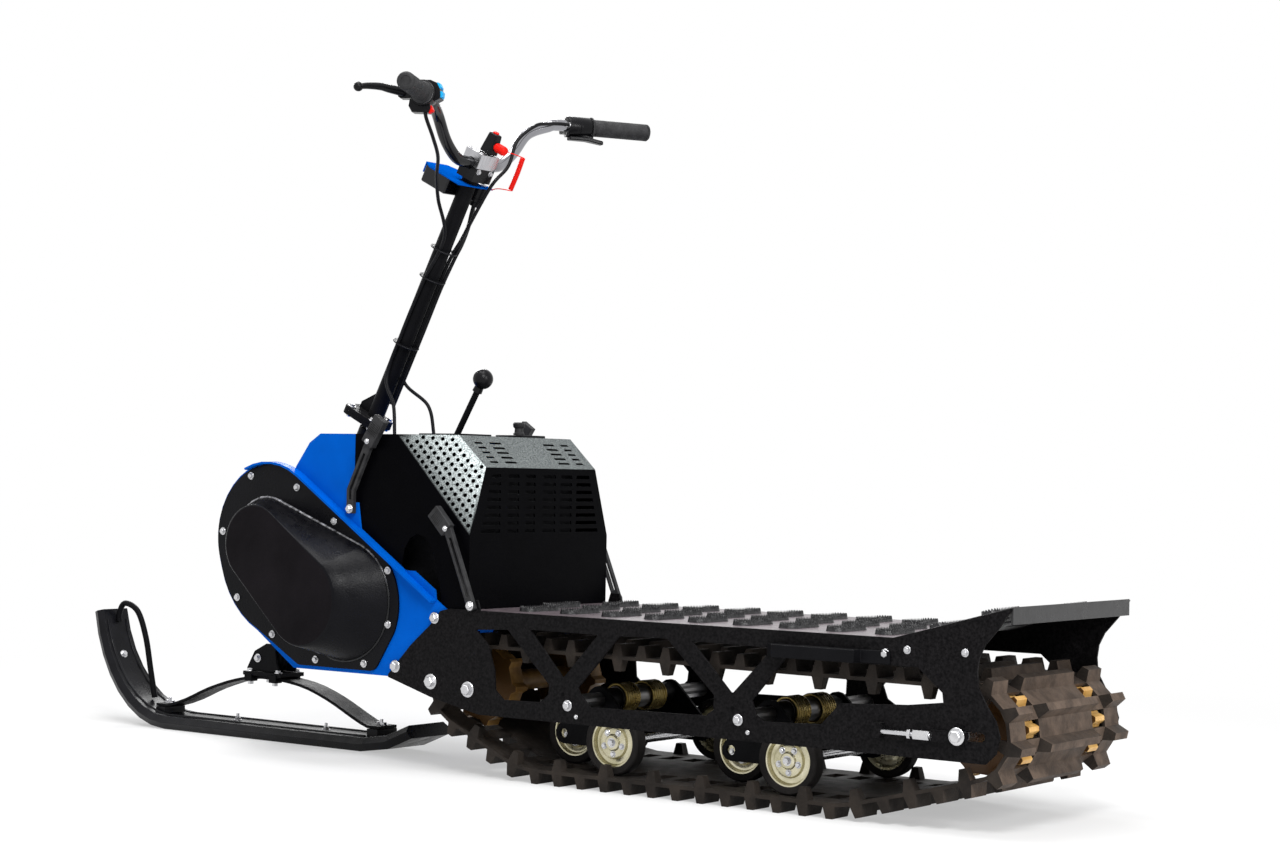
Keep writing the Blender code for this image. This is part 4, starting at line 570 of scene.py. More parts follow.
def cad_mesh(node):
    """Working copy of a CAD node's mesh."""
    bm = bmesh.new()
    bm.from_mesh(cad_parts[node].data)
    bmesh.ops.remove_doubles(bm, verts=bm.verts, dist=SAME_IN_CAD)
    return merge_flat(bm)


def rounded(node, material, body, width=0.0009, bm=None):
    """A CAD node, or a mesh made from it, with its edges rounded."""
    bm = bm or cad_mesh(node)
    for face in bm.faces:
        face.material_index = 0
    return form(node, bm, material, body, 35, width, raw=True)


# The steering axis, and the lanyard: one line from the kill switch's cap to the console
AXIS_FOOT = (1.3015, 0.604)
AXIS_LEAN = radians(26.9)
# Local +Z up the steering axis from the cowl's top, local +X forward
MAST = move(at(AXIS_FOOT[0], 0, AXIS_FOOT[1])) @ spin(-AXIS_LEAN, "Y")
WIRE = 0.0019
COIL_RADIUS = 0.005
COIL_TURNS = 33.5
LEAD_PULL = 0.013       # length of the handles that shape the two leads


def lengths(points):
    """Length of a line of points up to each of them."""
    run = [0]
    for a, b in zip(points, points[1:]):
        run.append(run[-1] + (b - a).length)
    return run


def lead(first, pull, push, last, steps=28):
    """Cubic curve between two places with its two handles."""
    return [first * (1 - t) ** 3 + pull * 3 * t * (1 - t) ** 2 + push * 3 * t * t * (1 - t)
            + last * t ** 3 for t in (i / steps for i in range(steps + 1))]


def lanyard():
    """Coiled cord with leads that leave both ends of the coil along its wire."""
    start = MAST @ Vector((-0.0402, -0.0248, 0.6211))
    coil = [at(0.978, -0.061, 1.133), at(0.991, -0.061, 1.104), at(1.007, -0.061, 1.074)]
    end = MAST @ Vector((-0.0218, -0.044, 0.5375))
    line = smooth_path(coil, 0.004)
    run = lengths(line)
    along = (coil[-1] - coil[0]).normalized()
    side = along.orthogonal().normalized()
    other = along.cross(side)
    radius = COIL_RADIUS - WIRE / 2
    turns = []
    towards = start - coil[0]
    phase = atan2(towards.dot(side), -towards.dot(other))
    steps = int(COIL_TURNS * 16)
    for i in range(steps + 1):
        share = i / steps * run[-1]
        k = max(j for j in range(len(run)) if run[j] <= share + 1e-9)
        k = min(k, len(line) - 2)
        place = line[k].lerp(line[k + 1], (share - run[k]) / (run[k + 1] - run[k]))
        angle = phase + 2 * pi * COIL_TURNS * i / steps
        turns.append(place + (side * cos(angle) + other * sin(angle)) * radius)
    leave = (turns[0] - turns[1]).normalized()
    arrive = (turns[-1] - turns[-2]).normalized()
    out = MAST.to_3x3() @ Vector((-0.2, -1, 0)).normalized()
    rise = MAST.to_3x3() @ Vector((-0.3, -0.6, 0.75)).normalized()
    path = (lead(start, start + out * LEAD_PULL, turns[0] + leave * LEAD_PULL, turns[0])[:-1]
            + turns
            + lead(turns[-1], turns[-1] + arrive * LEAD_PULL, end + rise * LEAD_PULL, end)[1:])
    curve = bpy.data.curves.new("lanyard_cord", "CURVE")
    curve.dimensions = "3D"
    curve.bevel_depth = WIRE / 2
    curve.bevel_resolution = 4
    curve.use_fill_caps = True
    spline = curve.splines.new("POLY")
    spline.points.add(len(path) - 1)
    for knot, place in zip(spline.points, path):
        knot.co = (*place, 1)
    curve.materials.append(RED)
    obj = new_object("lanyard_cord", curve)
    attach(obj, "steering")
    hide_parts("lanyard")


lanyard()

# CAD nodes that keep their own mesh
for node, material in (
        ("drive_axle", STEEL), ("front_bogie_shaft", GUNMETAL),
        ("rear_bogie_shaft", GUNMETAL), ("engine", CAST)):
    paint_node(node, material)

# Sheet metal and mouldings with rounded edges
for node, material, body in (
        ("side_plate_left", PLATE, "chassis"), ("side_plate_right", PLATE, "chassis"),
        ("side_panel_left", BLUE, "chassis"), ("side_panel_right", BLUE, "chassis"),
        ("nose_cowl", BLUE, "chassis"), ("dash_plate", SHADED_DASH_BLUE, "steering"),
        ("ski", SKI, "steering")):
    rounded(node, material, body)


# Running gear
ACROSS = spin(-pi / 2, "X")     # local +Z across the machine
WHEEL_HEIGHT = 0.0823
BOGIES = (("rear", 0.29, 0.148), ("front", 0.644, 0.146))


def road_wheel(bm, x, y, side):
    """Pressed disc with five bolts and a rubber tyre; slot 0 disc, 1 tyre, 2 steel."""
    outward = move(at(x, y, WHEEL_HEIGHT)) @ ACROSS
    if side < 0:
        outward = outward @ spin(pi, "X")
    tyre = [(0.0425, -0.0105), (0.0445, -0.0125), (0.053, -0.013), (0.0552, -0.011),
            (0.0558, -0.007), (0.0558, 0.007), (0.0552, 0.011), (0.053, 0.013),
            (0.0445, 0.0125), (0.0425, 0.0105)]
    turned(tyre, 48, ring=True, mat=1, place=outward, into=bm)
    disc = [(0, -0.005), (0.024, -0.005), (0.029, -0.002), (0.0345, -0.002),
            (0.0385, -0.01), (0.0423, -0.0108), (0.0433, -0.01), (0.0433, 0.0098),
            (0.0423, 0.0106), (0.04, 0.01), (0.0368, 0.003), (0.033, 0.0022),
            (0.0285, 0.0036), (0.0262, 0.008), (0.0235, 0.0088), (0.015, 0.0088),
            (0.0135, 0.012), (0.012, 0.013), (0.0085, 0.013), (0.008, 0.0118),
            (0, 0.0118)]
    turned(disc, 48, mat=0, place=outward, into=bm)
    for i in range(5):
        angle = 2 * pi * i / 5 + 0.35
        spot = outward @ move((0.0195 * cos(angle), 0.0195 * sin(angle), 0.0085))
        bolt_head(bm, spot, 0.004, 2, turn=angle)
    bolt_head(bm, outward @ move((0, 0, 0.0115)), 0.0062, 2)


def bolt_head(bm, place, radius, mat=0, washer=True, turn=0):
    """Six-sided head with a crowned top on a washer, local +Z outwards."""
    if washer:
        turned([(0, 0), (radius * 1.45, 0), (radius * 1.45, radius * 0.14),
                (radius * 1.35, radius * 0.24), (0, radius * 0.24)], 20, mat=mat,
               place=place, into=bm)
    low = radius * (0.24 if washer else 0)
    spun = place @ spin(turn, "Z")
    turned([(0, low), (radius, low), (radius, radius * 0.86), (radius * 0.86, radius),
            (0, radius)], 6, mat=mat, place=spun, into=bm)


def running_wheels():
    """Outer and inner pairs on each bogie, each pair on its own shaft."""
    for label, x, _ in BOGIES:
        for kind, shift, y in (("outer", -0.074, 0.156), ("inner", 0.076, 0.068)):
            bm = bmesh.new()
            for side in (-1, 1):
                road_wheel(bm, x + shift, side * y, side)
            rod(bm, 0.0078, -y, y, 24, move(at(x + shift, 0, WHEEL_HEIGHT)) @ ACROSS, 2)
            form(label + "_bogie_" + kind + "_wheels", bm, (ZINC, TYRE, STEEL), "chassis", 30)


def bogie_springs():
    """Two wound springs on each rocker's sleeve."""
    turns, per_turn, radius = 6, 20, 0.0242
    for label, px, pz in BOGIES:
        bm = bmesh.new()
        for side in (-1, 1):
            path = []
            for i in range(turns * per_turn + 1):
                angle = 2 * pi * i / per_turn
                y = side * (0.0185 + 0.043 * i / (turns * per_turn))
                path.append(at(px + radius * cos(angle), y, pz + radius * sin(angle)))
            sweep(path, 0.0029, 8, into=bm)
        sleeve = [(0.0195, -0.0623), (0.0203, -0.0623), (0.0203, 0.0623), (0.0195, 0.0623)]
        turned(sleeve, 24, ring=True, mat=1, place=move(at(px, 0, pz)) @ ACROSS, into=bm)
        form(label + "_bogie_springs", bm, (GOLD, GUNMETAL), "chassis", 50)


running_wheels()
bogie_springs()


# Belt cover: flange, domed guard with a rounded shoulder, weld bead
COVER_ARCS = (((1.31, 0.395), 0.175, -66, -16, 14), ((1.352, 0.407), 0.1385, -18, 123, 48),
              ((1.1455, 0.2935), 0.1205, 123, 205, 24), ((1.092, 0.195), 0.022, 212, 270, 8),
              ((1.266, 0.191), 0.018, -90, -62, 5))
DOME_BASE = (((1.157, 0.297), 0.11), ((1.36, 0.403), 0.08))
DOME_FACE = (((1.197, 0.298), 0.083), ((1.319, 0.397), 0.072))


def belt_cover():
    seat = PLATE_INSIDE + 0.0003
    outline = [point for part in COVER_ARCS for point in arc(*part)]
    bm = prism(outline, 0, 0.004, upright(seat))
    base = hull_of_circles(DOME_BASE, 40)
    face = hull_of_circles(DOME_FACE, 40)
    stations = [(0.95 * i / 5, 0.0035 + 0.0745 * i / 5, 0) for i in range(6)]
    for i in range(1, 9):
        bend = radians(90 * i / 8)
        stations.append((0.95 + 0.05 * sin(bend), 0.078 + 0.002 * sin(bend),
                         0.0026 * (1 - cos(bend))))
    mid = Vector((sum(p[0] for p in face), sum(p[1] for p in face))) / len(face)
    rows = []
    for share, out, pull in stations:
        row = []
        for a, b in zip(base, face):
            spot = Vector(a).lerp(Vector(b), share)
            spot += (mid - spot).normalized() * pull
            row.append(bm.verts.new(at(spot.x, seat + out, spot.y)))
        rows.append(row)
    skin(bm, rows)
    bm.faces.new(rows[0])
    bm.faces.new(rows[-1]).material_index = 1
    bead = [at(x, seat + 0.0042, z) for x, z in base]
    rng = random.Random(3)
    sizes = [0.0019 + 0.0012 * rng.random() for _ in bead]
    sweep(bead + [bead[0]], sizes + [sizes[0]], 8, mat=2, into=bm)
    form("belt_cover", bm, (COVER, FACE, BEAD), "chassis", 50)


belt_cover()

# Steering axis and handlebar, as the CAD lays them out
GRIP_AXIS = Vector((-0.475, 0.88, 0)).normalized()
BAR_END = at(0.903, 0.357, 1.213)
GRIP_LENGTH = 0.125
BAR_BORE = 0.0118       # radius of the hole through a housing on the bar


def on_mast(height, forward, side):
    """Place beside the steering axis at a height above the ground."""
    return MAST @ Vector((forward, side, (height - AXIS_FOOT[1]) / cos(AXIS_LEAN)))


def mirrored(point):
    return Vector((point.x, -point.y, point.z))


def bar_frame(side, inset):
    """Local +Z outwards along the grip, local +X forward."""
    spot, along = BAR_END - GRIP_AXIS * inset, GRIP_AXIS
    if side < 0:
        spot, along = mirrored(spot), mirrored(along)
    forward = Vector((0, 0, 1)).cross(along) * -side
    turn = Matrix((forward, along.cross(forward), along)).transposed().to_4x4()
    return move(spot) @ turn


def handlebar():
    left = [at(1.035, 0, 1.118), at(1.035, 0.034, 1.118), at(1.036, 0.064, 1.123),
            at(1.033, 0.098, 1.15), at(1.025, 0.13, 1.19),
            BAR_END - GRIP_AXIS * 0.215 - Vector((0, 0, 0.005)), BAR_END - GRIP_AXIS * 0.19,
            BAR_END - GRIP_AXIS * 0.08, BAR_END - GRIP_AXIS * 0.004]
    route = [mirrored(p) for p in reversed(left[1:])] + left
    form("handlebar", sweep(smooth_path(route, 0.008), 0.011, 24), BAR, "steering", 60)


def grips():
    for label, side in (("left", 1), ("right", -1)):
        profile = [(BAR_BORE, 0), (0.02, 0), (0.0205, 0.001), (0.02, 0.0026)]
        height = 0.005
        while height < 0.1165:
            profile += [(0.0164, height), (0.0165, height + 0.0012),
                        (0.0158, height + 0.0018), (0.0158, height + 0.0024)]
            height += 0.003
        profile += [(0.0165, 0.1185), (0.0165, 0.1215), (0.0143, 0.1241), (0.0125, 0.125),
                    (0.009, 0.125), (0.0084, 0.1238), (0, 0.1238)]
        bm = turned(profile, 36, place=bar_frame(side, GRIP_LENGTH))
        form("grip_" + label, bm, GRIP, "steering", 50)


def ring_body(bm, grip, radius, low, high, soft=0.0025):
    """Round clamp body with softened rims and a parting groove."""
    mid = (low + high) / 2
    turned([(BAR_BORE, low), (radius - soft, low), (radius - soft * 0.3, low + soft * 0.3),
            (radius, low + soft), (radius, mid - 0.0006), (radius - 0.0007, mid - 0.0003),
            (radius - 0.0007, mid + 0.0003), (radius, mid + 0.0006), (radius, high - soft),
            (radius - soft * 0.3, high - soft * 0.3), (radius - soft, high),
            (BAR_BORE, high)], 40, ring=True, place=grip, into=bm)


def pad(bm, grip, angle, radius, low, high, half, proud, mat):
    """Button with a chamfered top on a round body."""
    place = grip @ spin(radians(angle), "Z") @ spin(pi / 2, "Y")
    outline = [(-high, -half), (-low, -half), (-low, half), (-high, half)]
    prism(outline, radius - 0.006, radius + proud * 0.6, place, mat, bm)
    centre = -(low + high) / 2
    small = [((u - centre) * 0.78 + centre, v * 0.78) for u, v in outline]
    prism(small, radius + proud * 0.6, radius + proud, place, mat, bm)


def switch_housing():
    grip = bar_frame(1, GRIP_LENGTH)
    bm = bmesh.new()
    ring_body(bm, grip, 0.0236, -0.037, -0.001)
    prism([(0.013, -0.015), (0.013, -0.0232), (-0.014, -0.0232), (-0.0255, -0.018),
           (-0.0315, -0.006), (-0.032, 0.01), (-0.022, 0.015), (0, 0)], -0.0362,
          -0.006, grip, 0, bm)
    prism([(-0.013, 0.01), (0.024, 0.01), (0.026, 0.023), (0.02, 0.034),
           (-0.01, 0.035), (-0.014, 0.028)], -0.034, -0.0085, grip, 0, bm)
    pad(bm, grip, 205, 0.0308, -0.034, -0.008, 0.0058, 0.0034, 1)
    pad(bm, grip, 176, 0.0318, -0.032, -0.01, 0.0058, 0.0036, 1)
    pad(bm, grip, 112, 0.0315, -0.027, -0.012, 0.0058, 0.005, 2)
    turned([(0.0195, -0.0012), (0.0203, -0.0012), (0.0203, -0.0004), (0.0195, -0.0004)], 40,
           ring=True, mat=3, place=grip, into=bm)
    prism([(0.012, -0.013), (0.043, -0.012), (0.0455, -0.009), (0.0455, 0.006),
           (0.041, 0.0095), (0.012, 0.0095)], -0.0298, -0.0082, grip, 0, bm)
    turned([(0, 0), (0.0035, 0), (0.0035, 0.0016), (0.0026, 0.0022), (0, 0.0022)],
           14, mat=3, place=grip @ move((0.037, -0.001, -0.0083)), into=bm)
    for spot in (-0.03, -0.009):
        place = grip @ spin(radians(250), "Z") @ move((0.0228, 0, spot)) @ spin(pi / 2, "Y")
        turned([(0, 0), (0.0022, 0), (0.0022, 0.001), (0, 0.0012)], 12, mat=3,
               place=place, into=bm)
    form("switch_housing", bm, (SATIN, CYAN, RED, STEEL), "steering", 35, 0.0006)


def throttle_housing():
    grip = bar_frame(-1, GRIP_LENGTH)
    bm = bmesh.new()
    ring_body(bm, grip, 0.019, -0.051, -0.001, soft=0.003)
    prism([(0.012, -0.0115), (0.043, -0.011), (0.0455, -0.008), (0.0455, 0.007),
           (0.042, 0.0095), (0.012, 0.0095)], -0.0458, -0.0242, grip, 0, bm)
    turned([(0, -0.0575), (0.0046, -0.0575), (0.0046, -0.051), (0.0062, -0.0508),
            (0.0062, -0.0478), (0, -0.0478)], 16, mat=1,
           place=grip @ move((-0.0125, 0, 0)), into=bm)
    sleeve = smooth_path([grip @ Vector(p) for p in (
        (0.004, -0.011, -0.05), (0.002, -0.014, -0.03), (-0.004, -0.021, 0.004))], 0.004)
    sweep(sleeve, [0.0105 - 0.005 * i / len(sleeve) for i in range(len(sleeve))], 20, into=bm)
    for spot in (-0.042, -0.028):
        place = grip @ move((0.03, 0.0095, spot)) @ spin(-pi / 2, "X")
        bolt_head(bm, place, 0.0024, 1, washer=False)
    form("throttle_housing", bm, (SATIN, STEEL), "steering", 35, 0.0006)


def levers():
    grip = bar_frame(1, GRIP_LENGTH)
    route = smooth_path([(0.036, -0.002, -0.0076), (0.056, -0.004, 0.014),
                         (0.068, -0.005, 0.032), (0.086, -0.003, 0.052),
                         (0.097, 0, 0.064)], 0.004)
    bm = bmesh.new()
    rows = []
    for i, spot in enumerate(route):
        ahead = heading(route, i)
        side = Vector((0, 1, 0)).cross(ahead).normalized()
        up = ahead.cross(side)
        wide, tall = 0.0078 - 0.003 * i / len(route), 0.0086 - 0.0036 * i / len(route)
        rows.append([bm.verts.new(grip @ (spot + side * wide * cos(2 * pi * k / 14)
                                           + up * tall * sin(2 * pi * k / 14)))
                     for k in range(14)])
    skin(bm, rows)
    bm.faces.new(rows[0])
    bm.faces.new(rows[-1])
    turned(ball(0.0088, 12), 20, place=grip @ move((0.099, 0.0005, 0.066)), into=bm)
    form("brake_lever", bm, SATIN, "steering", 50)
    rounded("throttle_lever", SATIN, "steering", 0.0022)


def clamp_and_switch():
    """Split clamp with its four bolts; on top of it the kill switch with button and cap."""
    bar = MAST.inverted() @ at(1.035, 0, 1.118)
    bm = cad_mesh("bar_clamp")
    split = MAST @ Vector((bar.x, 0, bar.z - 0.004))
    up = MAST.to_3x3().col[2]
    bmesh.ops.bisect_plane(bm, geom=bm.verts[:] + bm.edges[:] + bm.faces[:], plane_co=split,
                           plane_no=up)
    for face in bm.faces:
        below = (face.calc_center_median() - split).dot(up) < 0
        face.material_index = 1 if below else 0
    form("bar_clamp", bm, (ALLOY, SATIN), "steering", 35, 0.0022, raw=True)
    top = bar.z + 0.024
    bm = bmesh.new()
    for forward in (-0.0155, 0.0155):
        bolt_head(bm, MAST @ move((bar.x + forward, 0.0215, top)), 0.0035)
    for side in (-1, 1):
        place = MAST @ move((bar.x - 0.0212, side * 0.017, bar.z - 0.01))
        bolt_head(bm, place @ spin(-pi / 2, "Y"), 0.0038)
    piece("clamp_bolts", bm, STEEL, "steering", 30)
    bm = cad_mesh("kill_switch_body")
    back = MAST.inverted()
    for vert in bm.verts:
        place = back @ vert.co
        share = min(1, max(0, (place.z - top) / 0.04))
        slim = 0.94 - 0.26 * share
        vert.co = MAST @ Vector((bar.x + (place.x - bar.x) * slim,
                                 -0.014 + (place.y + 0.014) * slim, place.z))
    form("kill_switch_body", bm, SATIN, "steering", 35, 0.0032, raw=True)
    bm = turned([(0, 0), (0.0062, 0), (0.0062, 0.0016), (0.0046, 0.0032), (0, 0.0036)], 24,
                place=MAST @ move((bar.x, -0.014, top + 0.0401)))
    piece("switch_button", bm, RED, "steering")
    cap = MAST @ move((bar.x - 0.0128, -0.014, top + 0.018)) @ spin(-pi / 2, "Y")
    bm = turned([(0, 0), (0.0078, 0), (0.0078, 0.003), (0.009, 0.0034),
                 (0.009, 0.0205), (0.008, 0.024), (0.0055, 0.0257), (0, 0.0257)], 28,
                place=cap)
    form("kill_switch", bm, RED, "steering")


def mast_parts():
    """Console, housings, ignition lock, flange bolts and the harness beside the mast."""
    dash = 0.536
    low = dash - 0.0003 - 0.04
    rounded("dash_box", GLOSS, "steering", 0.0035)
    bm = turned([(0, 0), (0.0095, 0), (0.0108, 0.0015), (0.011, 0.0085), (0.0148, 0.011),
                 (0.015, 0.016), (0.0142, 0.0168), (0.0142, 0.018), (0.015, 0.0188),
                 (0.015, 0.04), (0, 0.04)], 32, place=MAST @ move((-0.004, -0.034, low)))
    form("ignition_switch", bm, SATIN, "steering", 35)
    key = MAST @ move((-0.004, -0.034, dash + 0.003))
    bm = turned([(0, 0), (0.0095, 0), (0.0095, 0.0016), (0.008, 0.0026),
                 (0.005, 0.0026), (0.0048, 0.0018), (0, 0.0018)], 24, place=key)
    # Dark strip for the key slot: painted shade
    block((-0.003, -0.0006, 0.0018), (0.003, 0.0006, 0.0022), key, 1, bm)
    piece("ignition_face", bm, (STEEL, HOLE_SHADE), "steering", 35)
    bm = bmesh.new()
    for k, (side, reach, drop) in enumerate(((-0.03, -0.03, 0), (-0.037, -0.036, 0.006))):
        route = [MAST @ Vector(p) for p in (
            (-0.006 + 0.005 * k, side, low + 0.002),
            (-0.008 + 0.004 * k, side - 0.001, low - 0.016),
            (-0.013 + 0.003 * k, reach, low - 0.04 - drop),
            (-0.016 - 0.001 * k, -0.022 - 0.006 * k, low - 0.07 - drop),
            (-0.012 - 0.008 * k, -0.018 - 0.002 * k, low - 0.105),
            (-0.01 - 0.01 * k, -0.017 + 0.002 * k, low - 0.17),
            (-0.01 - 0.01 * k, -0.017 + 0.002 * k, low - 0.26),
            (-0.009 - 0.01 * k, -0.017 + 0.002 * k, 0.075))]
        sweep(smooth_path(route, 0.006), 0.0036, 12, into=bm)
    piece("harness", bm, CABLE, "steering", 60)
    bm = bmesh.new()
    for height in (0.34, 0.2, 0.4):
        turned([(0.0165, -0.0012), (0.0262, -0.0012), (0.0268, 0), (0.0262, 0.0012),
                (0.0165, 0.0012)], 30, ring=True,
               place=MAST @ move((-0.004, 0, height)), into=bm)
    piece("cable_ties", bm, PLASTIC, "steering")
    bm = bmesh.new()
    for forward in (-0.016, 0.045):
        for side in (-0.024, 0.024):
            bolt_head(bm, MAST @ move((forward, side, 0.0413)), 0.0055)
            bolt_head(bm, MAST @ move((forward, side, 0.025)) @ spin(pi, "X"), 0.005)
    piece("flange_bolts", bm, STEEL, "steering", 30)
    rounded("steering_column", BLACK, "steering", 0.0007)
    rounded("steering_stem", BLACK, "steering", 0.0007)
    piece("mast_tube", rod(None, 0.016, 0.04, 0.5478, 48, MAST), BLACK, "steering")


def cables():
    """Brake and throttle cables: from the handlebar into the hood."""
    inner = bar_frame(-1, GRIP_LENGTH + 0.051)
    brake = [at(0.97, 0.228, 1.1881), at(0.97, 0.226, 1.172), at(0.982, 0.192, 1.14),
             at(1.006, 0.15, 1.112), at(1.043, 0.11, 1.082), at(1.073, 0.07, 1.046),
             on_mast(0.985, -0.012, 0.022), on_mast(0.9, -0.002, 0.02),
             on_mast(0.8, 0, 0.02), on_mast(0.72, -0.008, 0.023),
             at(1.206, 0.034, 0.662), at(1.196, 0.04, 0.6052)]
    throttle = [inner @ Vector((-0.0155, 0, -0.0003)), inner @ Vector((-0.0175, 0, -0.022)),
                at(0.982, -0.138, 1.208), at(0.985, -0.105, 1.2), at(1, -0.07, 1.168),
                at(1.007, -0.053, 1.118), on_mast(1.09, -0.034, -0.022),
                on_mast(0.985, -0.016, -0.022), on_mast(0.9, -0.002, -0.02),
                on_mast(0.8, 0, -0.02), on_mast(0.72, -0.01, -0.023),
                at(1.18, -0.036, 0.664), at(1.166, -0.04, 0.6052)]
    for name, route in (("brake_cable", brake), ("throttle_cable", throttle)):
        bm = sweep(smooth_path(route, 0.006), 0.0034, 14)
        obj = form(name, bm, CABLE, None, 60)
        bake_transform(obj)


handlebar()
grips()
switch_housing()
throttle_housing()
levers()
clamp_and_switch()
mast_parts()
cables()


# Hood: perforated corners with dark sheets inside as painted shade, plates and filler on top,
# gear lever
CORNER = (Vector((CORNER_LOW[0], 0.2014, CORNER_LOW[1])), Vector((1.045, 0.2014, 0.604)),
          Vector((0.93, 0.163, 0.604)), Vector((0.867, 0.1607, 0.547)))
CORNER_MIDDLE = sum(CORNER, Vector()) / 4
HOLE_START = Vector((1.0222, 0.1977, 0.592))
HOLE_ROW = Vector((-0.0183, -0.0058, -0.0012))
HOLE_STEP = Vector((-0.00923, 0, -0.00931))
HOLE_RADIUS = 0.0039
HOLE_MARGIN = 0.0052        # from a hole's centre to the face's edge, at least
LEVER_Y = 0.03
SHADE_SHEET_DEPTH = 0.011        # black sheets inside the corner faces, painted shade behind the holes
HOOD_TOP = 0.6041


def corner_holes():
    """Places of the staggered holes in the left corner face, and the face's normal."""
    normal = (CORNER[1] - CORNER[0]).cross(CORNER[2] - CORNER[0]).normalized()
    if normal.y < 0:
        normal.negate()
    spots = []
    for k in range(-2, 17):
        for i in range(-1, 9):
            spot = HOLE_START + HOLE_ROW * i + HOLE_STEP * k
            spot -= normal * (spot - CORNER[0]).dot(normal)
            clear = []
            for a, b in zip(CORNER, CORNER[1:] + CORNER[:1]):
                inward = normal.cross(b - a).normalized()
                if inward.dot(CORNER_MIDDLE - a) < 0:
                    inward.negate()
                clear.append((spot - a).dot(inward))
            if min(clear) > HOLE_MARGIN:
                spots.append(spot)
    return spots, normal


def carved(node, material, body, cutter, width):
    """Rounded copy of a CAD node with holes cut through it."""
    bmesh.ops.recalc_face_normals(cutter, faces=cutter.faces)
    base = mesh_object(node + "_base", cad_mesh(node))
    tool = mesh_object(node + "_tool", cutter)
    cut = base.modifiers.new("cut", "BOOLEAN")
    cut.operation = "DIFFERENCE"
    cut.solver = "EXACT"
    cut.object = tool
    graph = bpy.context.evaluated_depsgraph_get()
    bm = bmesh.new()
    bm.from_mesh(bpy.data.meshes.new_from_object(base.evaluated_get(graph)))
    for obj in (base, tool):
        bpy.data.objects.remove(obj, do_unlink=True)
    return rounded(node, material, body, width, merge_flat(bm))


def hood():
    """Hood with its corner holes, what is on top of it, and behind the holes dark sheets on
    four legs each, as painted shade.
    """
    spots, normal = corner_holes()
    cutter = bmesh.new()
    shade_sheets = bmesh.new()
    for side in (-1, 1):
        out = Vector((normal.x, normal.y * side, normal.z))
        for spot in spots:
            rod(cutter, HOLE_RADIUS, -0.008, 0.004, 14,
                facing(out, at(spot.x, spot.y * side, spot.z)))
        # Dark sheets behind the holes: painted shade for the hood's dark inside
        near, far = [], []
        for corner in CORNER:
            spot = CORNER_MIDDLE + (corner - CORNER_MIDDLE) * 0.9 - normal * SHADE_SHEET_DEPTH
            near.append(shade_sheets.verts.new(at(spot.x, spot.y * side, spot.z)))
            spot = spot - normal * 0.001
            far.append(shade_sheets.verts.new(at(spot.x, spot.y * side, spot.z)))
            leg = CORNER_MIDDLE + (corner - CORNER_MIDDLE) * 0.84 - normal * SHADE_SHEET_DEPTH
            rod(shade_sheets, 0.002, 0, SHADE_SHEET_DEPTH - 0.0012, 10,
                facing(out, at(leg.x, leg.y * side, leg.z)))
        shade_sheets.faces.new(near)
        shade_sheets.faces.new(far)
        skin(shade_sheets, (near, far))
    carved("hood", HAMMER, "chassis", cutter, 0.0006)
    piece("painted_shade_sheets", shade_sheets, HOLE_SHADE, "chassis", 30)
    bm = bmesh.new()
    slot = 0.0085
    for low, high in (((1, -0.012), (1.008, 0.072)), ((1.098, -0.012), (1.106, 0.072)),
                      ((1.008, -0.012), (1.098, LEVER_Y - slot)),
                      ((1.008, LEVER_Y + slot), (1.098, 0.072))):
        block(at(*low, HOOD_TOP), at(*high, 0.6085), into=bm)
    piece("lever_gate", bm, PLASTIC, "chassis", 30)
    bm = block(at(0.955, -0.118, HOOD_TOP), at(1.02, -0.048, 0.609))
    piece("filler_plate", bm, PLASTIC, "chassis", 30, 0.0012)
    knob = turned([(0, 0), (0.0105, 0), (0.0105, 0.004), (0.0085, 0.006),
                   (0.008, 0.013), (0.011, 0.016), (0.0115, 0.022), (0.0095, 0.0245),
                   (0, 0.025)], 20, place=move(at(0.985, -0.075, 0.6088)))
    piece("filler_knob", knob, GRIP, "chassis")


def gear_lever():
    foot, knob = at(1.074, LEVER_Y, 0.5637), at(0.988, LEVER_Y, 0.711)
    bm = sweep([foot, foot.lerp(knob, 0.4), knob], 0.006, 24)
    turned(ball(0.019, 20), 36, mat=1, place=facing(knob - foot, knob), into=bm)
    collar = [(0.0062, 0), (0.0095, 0), (0.0085, 0.012), (0.0062, 0.014)]
    turned(collar, 24, ring=True, mat=1, place=facing(knob - foot, knob.lerp(foot, 0.16)),
           into=bm)
    form("gear_lever", bm, (BLACK, SATIN), "chassis")


hood()
gear_lever()


def latches():
    """Ribs across each rubber handle, and bolts at both ends of the straps."""
    lines = ((((0.849, 0.303), (0.878, 0.372), (0.906, 0.437), (0.938, 0.468)), 0.21,
              "rear_latch_"), (((1.145, 0.466), (1.145, 0.5), (1.101, 0.59),
                                (1.072, 0.632)), 0.2057, "front_latch_"))
    for line, seat, name in lines:
        for label, side in (("left", 1), ("right", -1)):
            rounded(name + label, GRIP, "chassis", 0.0018)
            bm = bmesh.new()
            outer = upright(seat + 0.0003, side)
            keeper, end = Vector(line[2]), Vector(line[3])
            along = (end - keeper).normalized()
            across = Vector((-along.y, along.x))
            for i in range(7):
                spot = keeper + along * (0.016 + 0.0035 * i)
                low, high = spot - along * 0.0009, spot + along * 0.0009
                ridge = [low + across * 0.0115, low - across * 0.0115,
                         high - across * 0.0115, high + across * 0.0115]
                prism([tuple(p) for p in ridge], 0.0135, 0.015, outer, 0, bm)
            for (x, z), proud, size in ((line[0], 0.009, 0.0058), (line[2], 0.014, 0.0036)):
                bolt_head(bm, outer @ move((x, z, proud)), size, 1)
            piece(name + label + "_trim", bm, (GRIP, STEEL), "chassis", 30)


latches()

